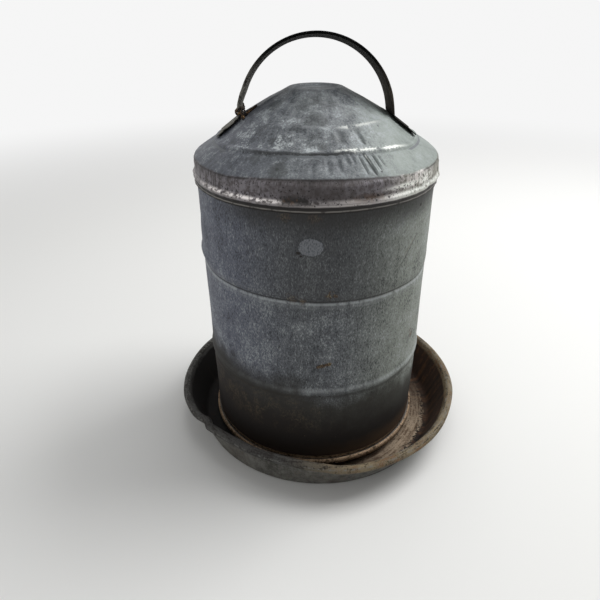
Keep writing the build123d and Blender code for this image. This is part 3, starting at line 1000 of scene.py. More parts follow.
@dataclass(frozen=True)
class PanZinc:
    """Dirty, rusting zinc of the pan: nearly black inside with dirt and painted shade, tan silt on the floor,
    a stained grey outside, and a painted highlight along the rim.
    """

    pan: "DrinkingPan"
    name: str = "pan_zinc"
    outside: Colour = paint(112, 111, 106)
    outside_dark: Colour = paint(60, 58, 53)
    inside: Colour = paint(50, 35, 25)
    # Near black of the inside: dirt and painted shade.
    inside_dark: Colour = paint(9, 6, 4)
    silt: Colour = paint(152, 136, 116)
    silt_dark: Colour = paint(84, 66, 50)
    rim: Colour = paint(124, 111, 88)
    rim_grey: Colour = paint(72, 71, 69)
    rim_dark: Colour = paint(30, 25, 21)
    rust: Colour = paint(100, 68, 42)
    black: Colour = paint(12, 9, 8)

    def hollow(self, look: Look, angle: Signal, mottle: Signal, grain: Signal) -> Signal:
        """Colour of the pan's inside.

        Args:
            look: The finish's tree.
            angle: Angle from the front, in radians.
            mottle: Noise of the middle size.
            grain: Noise of a small size.

        Returns:
            Near black with dirt and painted shade, browner at the right, with tan silt and black crumbs on
            the right of the floor.
        """
        across = look.x / self.pan.rim_r
        cloud = look.noise(45.0, 5.0)
        runs = look.noise(1.0, 4.0, look.spokes(0.0, 26.0, 30.0))
        rings = look.noise(1.0, 4.0, look.spokes(0.0, 5.0, 520.0))
        crumbs = look.noise(420.0, 3.0)
        brown = (cloud * 0.25 + mottle * 0.25 + runs * 0.5 + across * 0.12).rise(0.44, 0.6)
        rusty = (runs * 0.6 + mottle * 0.4).rise(0.52, 0.62) * across.rise(0.3, 0.9)
        reach = look.radius(0.0) + (mottle - 0.5) * 0.007
        # Silt shows on the right of the floor only and stops short of the wall's foot; elsewhere the near
        # black of dirt and painted shade stays.
        dusty = (look.z + (mottle - 0.5) * 0.003).rise(0.0042, 0.0020)
        dusty = dusty * angle.band(1.0, 1.0) * reach.rise(0.1105, 0.1085)
        ground = (rings * 0.5 + mottle * 0.2 + grain * 0.3).rise(0.40, 0.58)
        crumbs = crumbs.rise(0.36, 0.3).most(crumbs.rise(0.5, 0.44) * reach.rise(0.1040, 0.1085))
        floor = look.coats(self.silt_dark, (ground, self.silt), (crumbs, self.black))
        return look.coats(self.inside_dark, (brown, self.inside), (rusty * 0.5, self.rust), (dusty, floor))

    def build(self) -> bpy.types.Material:
        """Lay the rim's wear and painted highlight over the stained outside and the dark inside.

        Returns:
            The material.
        """
        look = Look(self.name)
        angle = look.around(0.0)
        across = look.x / self.pan.rim_r
        cloud = look.noise(32.0, 5.0)
        mottle = look.noise(150.0, 6.0, rough=0.62)
        grain = look.noise(700.0, 4.0)
        streak = look.noise(170.0, 4.0, look.stretched(0.3))
        rings = look.noise(1.0, 4.0, look.spokes(0.0, 8.0, 700.0))
        specks = look.noise(900.0, 2.0)
        tone = mottle * 0.25 + streak * 0.2 + rings * 0.3 + grain * 0.25
        rubbed = (mottle * 0.25 + rings * 0.45 + grain * 0.3).rise(0.53, 0.40)
        rusty = (mottle * 0.5 + rings * 0.5).rise(0.44, 0.56) * across.rise(-0.2, 0.4)
        high = look.z - self.pan.rim_z
        # Painted highlight along the rim's crest, with wear.
        wear_and_highlight = high.band(0.0027, 0.0012) * (mottle * 0.5 + grain * 0.5).rise(0.48, 0.56)
        edge = (high + (mottle - 0.5) * 0.002).rise(-0.0030, -0.0006)
        inner = look.face()
        band = look.coats(
            self.rim_grey,
            (across.rise(-0.3, 0.3), self.rim),
            (rubbed * 0.9, self.rim_dark),
            (rusty * cloud.rise(0.46, 0.56) * 0.7, self.rust),
            (wear_and_highlight * 0.8, self.outside),
            (specks.rise(0.36, 0.3), self.black),
        )
        colour = look.coats(
            self.outside_dark,
            (tone.rise(0.38, 0.6), self.outside),
            (grain.rise(0.5, 0.62) * cloud.rise(0.46, 0.6) * 0.45, self.silt_dark),
            (inner, self.hollow(look, angle, mottle, grain)),
            (edge, band),
        )
        rough = (0.62 + cloud * 0.15 + inner * 0.12).held()
        metal = ((1.0 - inner) * 0.12).held()
        return look.finished(colour, rough, metal, mottle * 0.6 + grain * 0.4, 0.0005, 0.3)


@dataclass(frozen=True)
class DarkStrap:
    """Tarnished strap: near black over the arch, with grey zinc lower down that is painted paler on the lit
    lower left leg, and painted shade at the feet.
    """

    handle: "StrapHandle"
    name: str = "dark_strap"
    # Near black of the tarnish, and of the painted shade at the feet.
    black: Colour = paint(5, 6, 6)
    dark: Colour = paint(18, 18, 17)
    brown: Colour = paint(84, 78, 70)
    # Grey zinc of the lower left leg, painted paler where it faces the light.
    grey: Colour = paint(96, 95, 91)
    pale: Colour = paint(140, 138, 130)

    def build(self) -> bpy.types.Material:
        """Darken the arch, paint shade at the feet, and paint the lower left leg paler where it is lit.

        Returns:
            The material.
        """
        look = Look(self.name)
        mottle = look.noise(140.0, 5.0, rough=0.6)
        grain = look.noise(700.0, 4.0)
        left = (look.x - self.handle.axis_x).rise(-0.025, -0.055)
        height = look.z + (mottle - 0.5) * 0.02
        down = (grain * 0.5 + mottle * 0.5).rise(0.34, 0.58) * height.rise(0.330, 0.298)
        # Painted shade at the feet, where they meet the cone, less at the left.
        low = (look.z - self.handle.heel_z()).rise(0.006, 0.0) * (1.0 - left * 0.85)
        colour = look.coats(
            self.black,
            ((mottle * 0.6 + grain * 0.4).rise(0.44, 0.62), self.dark),
            (down * 0.85, self.brown),
            # Painted light: the lower left leg, which faces the lamp, is painted paler over grey zinc.
            (left * height.rise(0.338, 0.315) * mottle.rise(0.3, 0.5) * 0.6, self.grey),
            (left * height.rise(0.326, 0.304) * mottle.rise(0.32, 0.5) * 0.7, self.pale),
            (low * 0.85, self.black),
        )
        return look.finished(colour, 0.65 + grain * 0.2, 0.0, mottle * 0.5 + grain * 0.5, 0.0002, 0.03)


@dataclass(frozen=True)
class RustyWire:
    """Rust-brown wire with tan and black places."""

    name: str = "rusty_wire"
    black: Colour = paint(14, 10, 8)
    brown: Colour = paint(58, 40, 25)
    tan: Colour = paint(150, 122, 84)

    def build(self) -> bpy.types.Material:
        """Mix the three browns by noise.

        Returns:
            The material.
        """
        look = Look(self.name)
        mottle = look.noise(380.0, 5.0)
        grain = look.noise(1500.0, 3.0)
        places = (mottle * 0.5 + grain * 0.5).rise(0.52, 0.62)
        colour = look.coats(self.black, (mottle.rise(0.42, 0.56), self.brown), (places, self.tan))
        return look.finished(colour, 0.8, 0.05, grain, 0.0002, 0.2)


@dataclass(frozen=True)
class PaleFloor:
    """Plain pale floor that fades into the white background far from the drinker."""

    name: str = "pale_floor"
    colour: Colour = paint(232, 232, 230)
    fade_from: float = 0.55
    fade_to: float = 1.7

    def build(self) -> bpy.types.Material:
        """Mix a matt floor with plain white by the distance from the middle.

        Returns:
            The material.
        """
        look = Look(self.name)
        matt = look.node("ShaderNodeBsdfDiffuse", {}, {"Color": self.colour})
        white = look.node("ShaderNodeEmission", {}, {"Color": WHITE, "Strength": WHITE_STRENGTH})
        far = look.radius(0.0).rise(self.fade_from, self.fade_to)
        return look.closed(look.node("ShaderNodeMixShader", {}, {0: far, 1: matt, 2: white}))


# Pieces


def dress(piece: bpy.types.Object, finish: Any, slot: str, *nodes: str) -> bpy.types.Object:
    """Finish a new piece and put it in the place of its CAD nodes.

    Args:
        piece: The new piece.
        finish: A finish with a build method.
        slot: The record's material slot. It is not used.
        nodes: Names of the CAD nodes that it stands for.

    Returns:
        The piece.
    """
    piece.data.materials.append(finish.build())
    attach(piece, BODY)
    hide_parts(*nodes)
    log.info("%s stands for %s with %d faces", piece.name, ", ".join(nodes), len(piece.data.polygons))
    return piece


@dataclass
class JacketWall:
    """Rolled wall of the jacket with its beads, its wired foot, its seam and its shallow dents."""

    axis_x: float
    wall_r: float = 0.0965
    sheet: float = 0.0007
    top_z: float = 0.2486
    neck_z: float = 0.0165
    hem_z: float = 0.0095
    hem_r: float = 0.0023
    shoulder_z: float = 0.1785
    groove_z: float = 0.1700
    bead_tilt: float = 0.0015
    swage_z: float = 0.0865
    crease_z: float = 0.0745
    seam_angle: float = 112.0
    columns: int = 420
    spacing: float = 0.0015
    wire_spacing: float = 0.00105

    def section(self) -> Array:
        """Outside of the sheet.

        Returns:
            Points straight down the wall, then round the wire at its foot.
        """
        straight = np.array([[self.wall_r, self.top_z], [self.wall_r, self.neck_z]])
        wire = arc((self.wall_r, self.hem_z), self.hem_r, 161.0, 435.0, 40)
        return np.concatenate([resample(straight, self.spacing), resample(wire, self.wire_spacing)])

    def relief(self, heights: Array, angles: Array) -> Array:
        """How far the wall stands out from its plain cylinder.

        Args:
            heights: A column of heights.
            angles: A row of angles in degrees.

        Returns:
            Raised cosines for the shoulder and its groove, the swage and the hollow under it, and the crease.
            Then a seam at the back, a few long waves, and broad shallow dents. The shoulder and its groove
            sink to the right by the tilt times the cosine of the angle. On the left the sheet stays out above
            the shoulder.
        """
        slant = np.cos(np.radians(angles))
        left = 0.5 - 0.5 * slant
        level = heights + self.bead_tilt * slant
        made = hump(level, self.shoulder_z, 0.0080) * (0.0003 + 0.0012 * left)
        made = made + step(level, 0.1760, 0.1810) * step(level, 0.2120, 0.1980) * 0.0007 * left**2
        for place, height, half, out in (
            (level, self.groove_z, 0.0026, -0.0009),
            (heights, self.swage_z, 0.0050, 0.0013),
            (heights, self.swage_z - 0.0068, 0.0035, -0.0004),
            (heights, self.crease_z, 0.0028, -0.0005),
        ):
            made = made + hump(place, height, half) * out
        seam = sector(angles, self.seam_angle, 2.2) ** 0.35
        made = made + 0.0006 * seam * step(heights, 0.018, 0.020) * step(heights, 0.2385, 0.2375)
        body = step(heights, self.neck_z, self.neck_z + 0.02) * step(heights, 0.240, 0.228)
        long = ((0.00022, 3.0, 30.0, 0.0), (0.00016, 7.0, -55.0, 1.3), (0.00010, 13.0, 90.0, 0.4))
        made = made + waves(angles, heights, *long) * body
        for angle, height, wide, tall, deep in (
            (-48.0, 0.196, 14.0, 0.026, 0.0006), (-132.0, 0.128, 16.0, 0.022, 0.0005),
            (-30.0, 0.120, 10.0, 0.020, 0.0005), (-150.0, 0.200, 12.0, 0.024, 0.0004),
        ):
            made = made - deep * sector(angles, angle, wide) * hump(heights, height, tall)
        return made

    def build(self) -> bpy.types.Object:
        """Spin the section, raise its relief and give it its thickness.

        Returns:
            The wall's piece.
        """
        section, angles = self.section(), ring(self.columns)
        radii, heights = section[:, :1], section[:, 1:]
        on_wall = (heights >= self.neck_z) & (radii > self.wall_r - 1e-6)
        relief = self.relief(heights, angles[None, :]) * on_wall
        outer = spun(radii + relief, heights, angles, self.axis_x)
        return mesh_from("wall_skin", sheet_skin(outer, self.sheet, self.axis_x, True, Ends.JOINED, 3))


@dataclass
class ConeTop:
    """Pressed cone with its sunk crown, ridges, creases, brim and beaded skirt."""

    axis_x: float
    sheet: float = 0.0007
    brim_r: float = 0.0960
    brim_z: float = 0.2596
    crown_r: float = 0.0195
    crown_z: float = 0.3070
    dish_r: float = 0.0165
    dish_z: float = 0.3045
    upper_r: float = 0.0575
    upper_z: float = 0.2865
    lower_r: float = 0.0750
    lower_z: float = 0.2733
    bow: float = 0.0045
    bow_start: float = 0.0010
    fold: float = 0.0026
    first_r: float = 0.0370
    first_z: float = 0.2983
    skirt_r: float = 0.09735
    bead_z: float = 0.2453
    bead_rise: float = 0.0019
    edge_z: float = 0.2396
    edge_r: float = 0.0980
    columns: int = 640
    spacing: float = 0.0013
    out_share: float = 0.55
    up_share: float = 0.83

    def slope(self) -> tuple[tuple[float, float], ...]:
        """Distances from the axis and heights of the slopes' breaks, from the crown to the brim."""
        return (
            (self.crown_r, self.crown_z),
            (self.first_r, self.first_z),
            (self.upper_r, self.upper_z),
            (self.lower_r, self.lower_z),
            (self.brim_r, self.brim_z),
        )

    def section(self) -> Array:
        """Outside of the sheet, from the middle of the sunk crown to the skirt's lower edge.

        Returns:
            The breaks of the slopes and the skirt, with the bead as a raised cosine, spaced evenly.
        """
        middle = ((0.0, self.dish_z), (self.dish_r, self.dish_z))
        side = ((self.skirt_r - 0.0001, self.brim_z - 0.0016), (self.skirt_r, self.bead_z + 0.0034))
        corners = np.array(middle + self.slope() + side)
        bead_z = np.linspace(self.bead_z + 0.0030, self.bead_z - 0.0030, 13)
        bead = np.stack([self.skirt_r + self.bead_rise * hump(bead_z, self.bead_z, 0.0032), bead_z], axis=1)
        edge = np.array([[self.skirt_r + 0.0001, self.bead_z - 0.0036], [self.edge_r, self.edge_z]])
        return rounded(resample(np.concatenate([corners, bead, edge]), self.spacing), 1)

    def relief(self, reach: Array, heights: Array, angles: Array) -> Array:
        """How far the sheet stands up from its plain section.

        Args:
            reach: A column of distances from the axis along the section.
            heights: A column of heights.
            angles: A row of angles in degrees.

        Returns:
            Raised cosines for the two ridges, narrow creases down the slopes, broad dents, and long waves.
            The upper ridge is flat under the handle's feet. The lower one bows: its distance from the axis
            grows with the square of the angle from the front. The sheet bends over early at the front of the
            brim.
        """
        front = np.radians(turn(angles, -90.0))
        lower = reach - self.bow * np.minimum(front**2, 1.0) + self.bow_start
        pressed = 1.0 - sector(angles, 0.0, 30.0) - sector(angles, 180.0, 30.0)
        ridge = (0.0006 + waves(angles, 0.0, (0.0003, 2.0, 0.0, math.radians(40.0)))) * pressed
        made = hump(reach, self.upper_r, 0.0030) * ridge
        made = made + hump(lower, self.lower_r, 0.0026) * 0.0009
        made = made - hump(lower, self.lower_r + 0.0026, 0.0022) * 0.0005
        for first, last, start, end, wide, deep in (
            (-69.8, -69.0, 0.0775, 0.0925, 0.0011, 0.0008), (-66.8, -65.4, 0.0760, 0.0935, 0.0012, 0.0015),
            (-62.3, -62.0, 0.0775, 0.0910, 0.0010, 0.0009), (-59.3, -58.9, 0.0785, 0.0890, 0.0010, 0.0006),
            (-77.1, -76.3, 0.0770, 0.0850, 0.0020, 0.0007), (-73.5, -73.3, 0.0775, 0.0850, 0.0014, 0.0005),
            (-81.0, -80.6, 0.0775, 0.0900, 0.0022, 0.0005), (-86.0, -86.0, 0.0775, 0.0915, 0.0026, 0.0005),
            (-93.0, -93.5, 0.0780, 0.0915, 0.0034, 0.0004), (-101.0, -102.0, 0.0780, 0.0900, 0.0030, 0.0003),
            (-121.0, -121.5, 0.0780, 0.0890, 0.0020, 0.0004),
            (-131.6, -132.1, 0.0775, 0.0915, 0.0010, 0.0008),
            (-132.5, -132.4, 0.0640, 0.0750, 0.0010, 0.0007),
        ):
            course = first + (last - first) * (reach - start) / (end - start)
            gap = np.radians(turn(angles, course)) * reach
            span = step(reach, start, start + 0.002) * step(reach, end, end - 0.004)
            made = made - span * (hump(gap, 0.0, wide) - 0.6 * hump(gap, 1.3 * wide, wide)) * deep
        for angle, start, end, wide, deep in (
            (-76.2, 0.0570, 0.0710, 4.2, 0.0012), (-63.7, 0.0580, 0.0715, 2.6, 0.0012),
            (-69.5, 0.0580, 0.0700, 3.0, -0.0004), (-98.0, 0.0600, 0.0740, 6.0, 0.0005),
            (-118.0, 0.0600, 0.0740, 8.0, 0.0004),
        ):
            span = step(reach, start, start + 0.005) * step(reach, end, end - 0.005)
            made = made - span * sector(angles, angle, wide) * deep
        long = ((0.00025, 5.0, 90.0, 0.0), (0.00018, 11.0, -140.0, 0.8), (0.00012, 23.0, 60.0, 2.1))
        made = made + waves(angles, reach, *long) * step(reach, 0.02, 0.035)
        early = np.maximum(1.0 - 2.0 * front**2, 0.0)
        pulled = step(reach, self.brim_r - 0.0045, self.brim_r - 0.0005) * early
        pulled = pulled * step(heights, self.brim_z - 0.004, self.brim_z)
        return made * step(heights, self.brim_z + 0.0004, self.brim_z + 0.003) - pulled * 0.0010

    def skirt_relief(self, heights: Array, angles: Array) -> Array:
        """How far the skirt stands out.

        Args:
            heights: A column of heights.
            angles: A row of angles in degrees.

        Returns:
            Raised cosines for a crumpled lap at the right, and small waves, of which one runs along the bead.
        """
        skirt = step(heights, self.brim_z - 0.001, self.brim_z - 0.003)
        lap = sector(angles, -41.0, 4.0) * 0.0011 * hump(heights, 0.2500, 0.010)
        lap = lap - sector(angles, -33.0, 3.6) * 0.0012 * hump(heights, self.bead_z, 0.005)
        lap = lap + sector(angles, -17.0, 1.3) * 0.0009 * step(heights, self.edge_z, self.bead_z)
        ripple = waves(angles, heights, (0.00022, 9.0, 300.0, 0.0), (0.00012, 57.0, 500.0, 0.3))
        ripple = ripple + waves(angles, 0.0, (0.00018, 31.0, 0.0, 1.7)) * hump(heights, self.bead_z, 0.006)
        return (lap + ripple) * skirt

    def build(self) -> bpy.types.Object:
        """Spin the section, press its ridges and creases into it and give it its thickness.

        Returns:
            The cone's piece. What the relief raises goes out and up by the shares of the slopes' normal.
        """
        section, angles = self.section(), ring(self.columns)
        reach, heights = section[:, :1], section[:, 1:]
        lift = self.relief(reach, heights, angles[None, :])
        radii = reach + lift * self.out_share + self.skirt_relief(heights, angles[None, :])
        outer = spun(radii, heights + lift * self.up_share, angles, self.axis_x)
        outer[0, :, :2] = (self.axis_x, 0.0)
        return mesh_from("cone_skin", sheet_skin(outer, self.sheet, self.axis_x, True, Ends.POLES, 5))


@dataclass
class DrinkingPan:
    """Spun pan with a rolled rim, pushed in at its front left."""

    sheet: float = 0.0008
    floor_r: float = 0.1144
    rim_r: float = 0.1311
    rim_z: float = 0.0310
    curl_r: float = 0.0027
    wire_r: float = 0.0024
    lift: float = 0.26
    dent_places: tuple[tuple[float, float], ...] = (
        (-180.0, 0.0), (-165.0, 0.0003), (-153.0, 0.0030), (-149.0, 0.0050), (-145.6, 0.0080),
        (-142.5, 0.0054), (-138.0, 0.0074), (-127.0, 0.0099), (-112.0, 0.0092), (-101.0, 0.0083),
        (-92.5, 0.0064), (-89.0, 0.0054), (-84.0, 0.0030), (-76.0, 0.0018), (-55.0, 0.0005),
        (-35.0, 0.0), (180.0, 0.0),
    )
    columns: int = 420
    spacing: float = 0.0016
    curl_spacing: float = 0.00096

    def dent(self, angles: Array) -> Array:
        """How far the rim is pushed in.

        Args:
            angles: Angles in degrees.

        Returns:
            The depths of the measured places joined by straight lines, then softened by a short raised
            cosine.
        """
        places, depths = np.array(self.dent_places).T
        fine = ring(1440)
        window = hump(np.arange(-6.0, 7.0), 0.0, 7.0)
        soft = np.convolve(np.interp(fine, places, depths), window / window.sum(), "same")
        return np.interp(angles, fine, soft)

    def section(self) -> Array:
        """Outside of the sheet, from the middle of the floor to the wall and round the wire at the rim.

        Returns:
            The plain floor, a wall that touches the curl's circle, and the curl.
        """
        side = math.degrees(math.atan2(-self.rim_z, self.floor_r - self.rim_r))
        reach = math.hypot(self.rim_z, self.rim_r - self.floor_r)
        touch = side - math.degrees(math.acos(self.curl_r / reach))
        wire = arc((self.rim_r, self.rim_z), self.curl_r, touch % 360.0, -125.0, 44)
        plain = np.array([[0.0, 0.0], [self.floor_r, 0.0], wire[0]])
        base = rounded(resample(plain, self.spacing), 2)
        base[:, 1] = np.where(base[:, 0] < self.floor_r - 3.0 * self.spacing, 0.0, base[:, 1])
        return np.concatenate([base[:-1], resample(wire, self.curl_spacing)])

    def pushed(self, radii: Array, heights: Array, angles: Array) -> tuple[Array, Array]:
        """Push a spun surface in by the rim's dent.

        Args:
            radii: A column of distances from the axis.
            heights: A column of heights.
            angles: A row of angles in degrees.

        Returns:
            Radii less the dent and heights with a part of it added, both by the share of the rim's height,
            since a wall that is bent up stands higher. A slight waver goes all round.
        """
        share = np.clip(heights / self.rim_z, 0.0, 1.0) ** 1.2
        dent = self.dent(angles)[None, :]
        waver = waves(angles, 0.0, (0.0004, 4.0, 0.0, 0.6), (0.0003, 9.0, 0.0, 2.0))
        return radii - (dent - np.minimum(waver, 0.0)[None, :]) * share, heights + self.lift * dent * share

    def build(self) -> bpy.types.Object:
        """Spin the section, push the rim in and give it its thickness.

        Returns:
            The pan's piece.
        """
        section, angles = self.section(), ring(self.columns)
        radii, heights = self.pushed(section[:, :1], section[:, 1:], angles)
        outer = spun(radii, heights, angles, 0.0)
        outer[0, :, :2] = 0.0
        return mesh_from("pan_skin", sheet_skin(outer, self.sheet, 0.0, False, Ends.POLES, 2))

    def wire(self) -> bpy.types.Object:
        """Wire inside the rolled rim, spun from its circle and pushed in with the rim.

        Returns:
            The wire's piece.
        """
        circle = arc((self.rim_r, self.rim_z), self.wire_r, 0.0, 360.0, 15)[:-1]
        angles = ring(self.columns)
        dent = self.dent(angles)[None, :]
        points = spun(circle[:, :1] - dent, circle[:, 1:] + self.lift * dent, angles, 0.0)
        return mesh_from("rim_wire_skin", Skin(points, Ends.JOINED))


@dataclass
class StrapHandle:
    """Leaning strap arch with hemmed edges and two feet."""

    axis_x: float
    arch_z: float = 0.2841
    inner_r: float = 0.0571
    heel_y: float = 0.0022
    toe_x: float = 0.0760
    left_slope: float = 36.0
    right_slope: float = 35.6
    lean: float = 7.0
    foot_lean: float = 1.0
    bulge: float = 0.0014
    bulge_y: float = 0.0090
    bulge_half: float = 0.0120
    width: float = 0.0350
    sheet: float = 0.0010
    hem_width: float = 0.0040
    hem_height: float = 0.0020
    foot_thinning: float = 0.6
    waver: float = 0.00025
    spacing: float = 0.0007
    edge_spacing: float = 0.0009
    softening: int = 12
    def path(self) -> Array:
        """Underside of the strap, as side and height.

        Returns:
            A foot, a bend, the arch, a bend and a foot. The feet fall by the tangent of their slopes.
        """
        slopes = np.radians([self.left_slope, self.right_slope])
        left, right = self.heel_y - (self.toe_x - self.inner_r) * np.tan(slopes)
        heel_angle = math.degrees(math.asin(self.heel_y / self.inner_r))
        arch = arc((0.0, 0.0), self.inner_r, 180.0 - heel_angle, heel_angle, 150)
        line = resample(np.concatenate([[(-self.toe_x, left)], arch, [(self.toe_x, right)]]), self.spacing)
        line = rounded(line, self.softening)
        line[:, 0] = line[:, 0] - self.bowed(line[:, 1]) * (line[:, 0] < 0.0)
        return line

    def bowed(self, heights: Array) -> Array:
        """How far the left leg stands out from the arch's circle, by a raised cosine of the height."""
        return self.bulge * hump(heights, self.bulge_y, self.bulge_half)

    def section(self) -> Array:
        """Closed outline across the strap: thin in the middle, with rounded, folded edges.

        Returns:
            The points of the right half and their mirror images, spaced evenly from the left edge on.
        """
        half, fold, low, high = self.width / 2, self.width / 2 - self.hem_width, self.sheet, self.hem_height
        right = np.array(
            [
                (half - 0.0008, 0.0), (half - 0.0002, 0.0002), (half, high * 0.5),
                (half - 0.0003, high - 0.0003), (half - 0.0010, high), (fold + 0.0003, high),
                (fold, high - 0.0003), (fold - 0.0002, low),
            ]
        )
        left = right[::-1] * (-1.0, 1.0)
        outline = np.roll(np.concatenate([[(0.0, 0.0)], right, [(0.0, low)], left]), 3, axis=0)
        return resample(np.concatenate([outline, outline[:1]]), self.edge_spacing)[:-1]

    def place(self, flat: Array, depth: Array) -> Array:
        """Lean points of the handle's plane back into the drinker's frame.

        Args:
            flat: Side and height of each point in the plane.
            depth: Distance of each point behind the plane.

        Returns:
            The points turned about the X axis by the lean and moved to the middle of the arch. Across the
            feet the strap leans less, since they lie on the cone.
        """
        lean = math.radians(self.lean)
        foot = step(np.abs(flat[..., 0]), self.inner_r - 0.0004, self.inner_r + 0.0024)
        tilt = np.radians(self.lean + (self.foot_lean - self.lean) * foot)
        y = flat[..., 1] * math.sin(lean) + depth * np.cos(tilt)
        z = flat[..., 1] * math.cos(lean) - depth * np.sin(tilt)
        return np.stack([self.axis_x + flat[..., 0], y, self.arch_z + z], axis=-1)

    def build(self) -> bpy.types.Object:
        """Carry the section along the path and lean the whole handle.

        Returns:
            The handle's piece, thinner across its feet and with a slight waver.
        """
        line, section = self.path(), self.section()
        ahead = np.gradient(line, axis=0)
        ahead /= np.linalg.norm(ahead, axis=1, keepdims=True)
        up = np.stack([-ahead[:, 1], ahead[:, 0]], axis=1)
        waver = self.waver * np.sin(np.linspace(0.0, 9.0, len(line)))
        foot = step(np.abs(line[:, 0]), self.inner_r - 0.0002, self.inner_r + 0.002)
        thick = 1.0 - self.foot_thinning * foot
        lift = section[None, :, 1] * thick[:, None] + waver[:, None]
        flat = line[:, None, :] + lift[:, :, None] * up[:, None, :]
        depth = np.broadcast_to(section[None, :, 0], flat.shape[:2])
        return mesh_from("handle_skin", Skin(self.place(flat, depth), Ends.CAPPED))

    def heel_z(self) -> float:
        """Height of the bend between the arch and the feet."""
        return self.arch_z + self.heel_y * math.cos(math.radians(self.lean))


@dataclass
class FootRivets:
    """One low rivet through each of the handle's feet."""

    handle: StrapHandle
    reach: float = 0.0070
    head_r: float = 0.0030
    shank_r: float = 0.0016
    tail_r: float = 0.0026
    top: float = 0.0008
    seat: float = 0.0003
    under: float = -0.0011
    end: float = -0.0020
    columns: int = 24

    def section(self) -> Array:
        """Half outline of a rivet, from the middle of its head to the middle of its tail.

        Returns:
            A row for each corner: its radius and height. Each height has two corners.
        """
        head = [0.0, 0.6 * self.head_r, self.head_r, self.shank_r]
        tail = [self.shank_r, self.tail_r, self.tail_r, 0.0]
        heights = np.repeat([self.top, self.seat, self.under, self.end], 2)
        return np.stack([head + tail, heights], axis=1)

    def placed(self, side: float, slope: float) -> bpy.types.Object:
        """Spin a rivet and stand it on a foot.

        Args:
            side: -1 for the left foot and 1 for the right one.
            slope: Slope of the foot in degrees.

        Returns:
            The rivet. Its points go down the foot by one offset, out of it by their height and across it by
            the other offset.
        """
        section = self.section()
        grid = spun(section[:, :1], section[:, 1:], ring(self.columns), 0.0)
        cos, sin = math.cos(math.radians(slope)), math.sin(math.radians(slope))
        down = self.reach + grid[..., 1]
        across = side * (self.handle.inner_r + down * cos + grid[..., 2] * sin)
        height = self.handle.heel_y - down * sin + grid[..., 2] * cos
        points = self.handle.place(np.stack([across, height], axis=-1), grid[..., 0])
        return mesh_from("rivet_skin", Skin(points, Ends.POLES))

    def build(self) -> bpy.types.Object:
        """Stand a rivet on each foot and make them one piece."""
        return joined(self.placed(-1.0, self.handle.left_slope), self.placed(1.0, self.handle.right_slope))


@dataclass
class TieWire:
    """Rusty wire twisted round the left leg, with two loose ends over the cone."""

    handle: StrapHandle
    first: tuple[Point, ...] = (
        (-0.0452, -0.0096, 0.2941), (-0.0470, -0.0116, 0.2931), (-0.0488, -0.0118, 0.2913),
        (-0.0506, -0.0146, 0.2907), (-0.0526, -0.0156, 0.2889), (-0.0548, -0.0176, 0.2876),
    )
    last: tuple[Point, ...] = (
        (-0.0568, -0.0190, 0.2896), (-0.0552, -0.0196, 0.2888), (-0.0536, -0.0208, 0.2876),
        (-0.0540, -0.0222, 0.2867), (-0.0556, -0.0216, 0.2866), (-0.0562, -0.0196, 0.2876),
        (-0.0546, -0.0172, 0.2890), (-0.0524, -0.0140, 0.2896), (-0.0498, -0.0124, 0.2918),
        (-0.0478, -0.0092, 0.2924), (-0.0458, -0.0092, 0.2940),
    )
    wire_r: float = 0.0007
    turns: float = 2.3
    low: float = 0.0036
    pitch: float = 0.0020
    gap: float = 0.0008
    flatness: float = 0.35
    waver: float = 0.0005
    spacing: float = 0.0006
    softening: int = 6

    def flattened(self, wave: Array) -> Array:
        """A wave with flatter crests: its size to the power of the flatness, with its sign."""
        return np.sign(wave) * np.abs(wave) ** self.flatness

    def path(self) -> Array:
        """A coil round the leg between two slack strands.

        Returns:
            A flattened helix, whose two sides are powers of the cosine and sine of its angle, between points
            that lie on the cone. The strands twist round each other beside the leg and end on the slope.
        """
        handle = self.handle
        t = np.linspace(0.0, self.turns * 2.0 * math.pi, 260)
        height = self.low + self.pitch * t / (2.0 * math.pi) + 0.0006 * np.sin(2.3 * t)
        across = self.flattened(np.cos(t)) * (handle.hem_height / 2 + self.gap)
        depth = self.flattened(np.sin(t)) * (handle.width / 2 + self.gap)
        middle = np.sqrt(np.maximum(handle.inner_r**2 - height**2, 0.0)) + handle.hem_height / 2
        middle = middle + handle.bowed(height)
        waver = self.waver * np.sin(5.0 * t)
        coil = handle.place(np.stack([across - middle + waver, height], axis=1), depth)
        first, last = (np.array(strand) + (handle.axis_x, 0.0, 0.0) for strand in (self.first, self.last))
        return rounded(resample(np.concatenate([first, coil, last]), self.spacing), self.softening)

    def build(self) -> bpy.types.Object:
        """Carry a round section along the path.

        Returns:
            The wire's piece.
        """
        section = arc((0.0, 0.0), self.wire_r, 0.0, 360.0, 11)[:-1]
        points = tube(self.path(), section, np.array([0.0, 0.0, 1.0]))
        return mesh_from("tie_wire_skin", Skin(points, Ends.CAPPED))


@dataclass
class HiddenWorks:
    """The pieces under the jacket and inside the rolled edges, which keep their CAD shapes."""

    zinc_nodes: tuple[str, ...] = ("tank_wall", "tank_bottom", "jacket_rests")
    wire_nodes: tuple[str, ...] = ("jacket_hem_wire", "tank_rim_wire")

    def dress(self) -> None:
        """Give each node its finish."""
        for names, finish in ((self.zinc_nodes, PlainZinc()), (self.wire_nodes, DrawnWire())):
            material = finish.build()
            for name in names:
                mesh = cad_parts[name].data
                mesh.materials.clear()
                mesh.materials.append(material)
                log.info("%s keeps its shape with %s", name, finish.name)


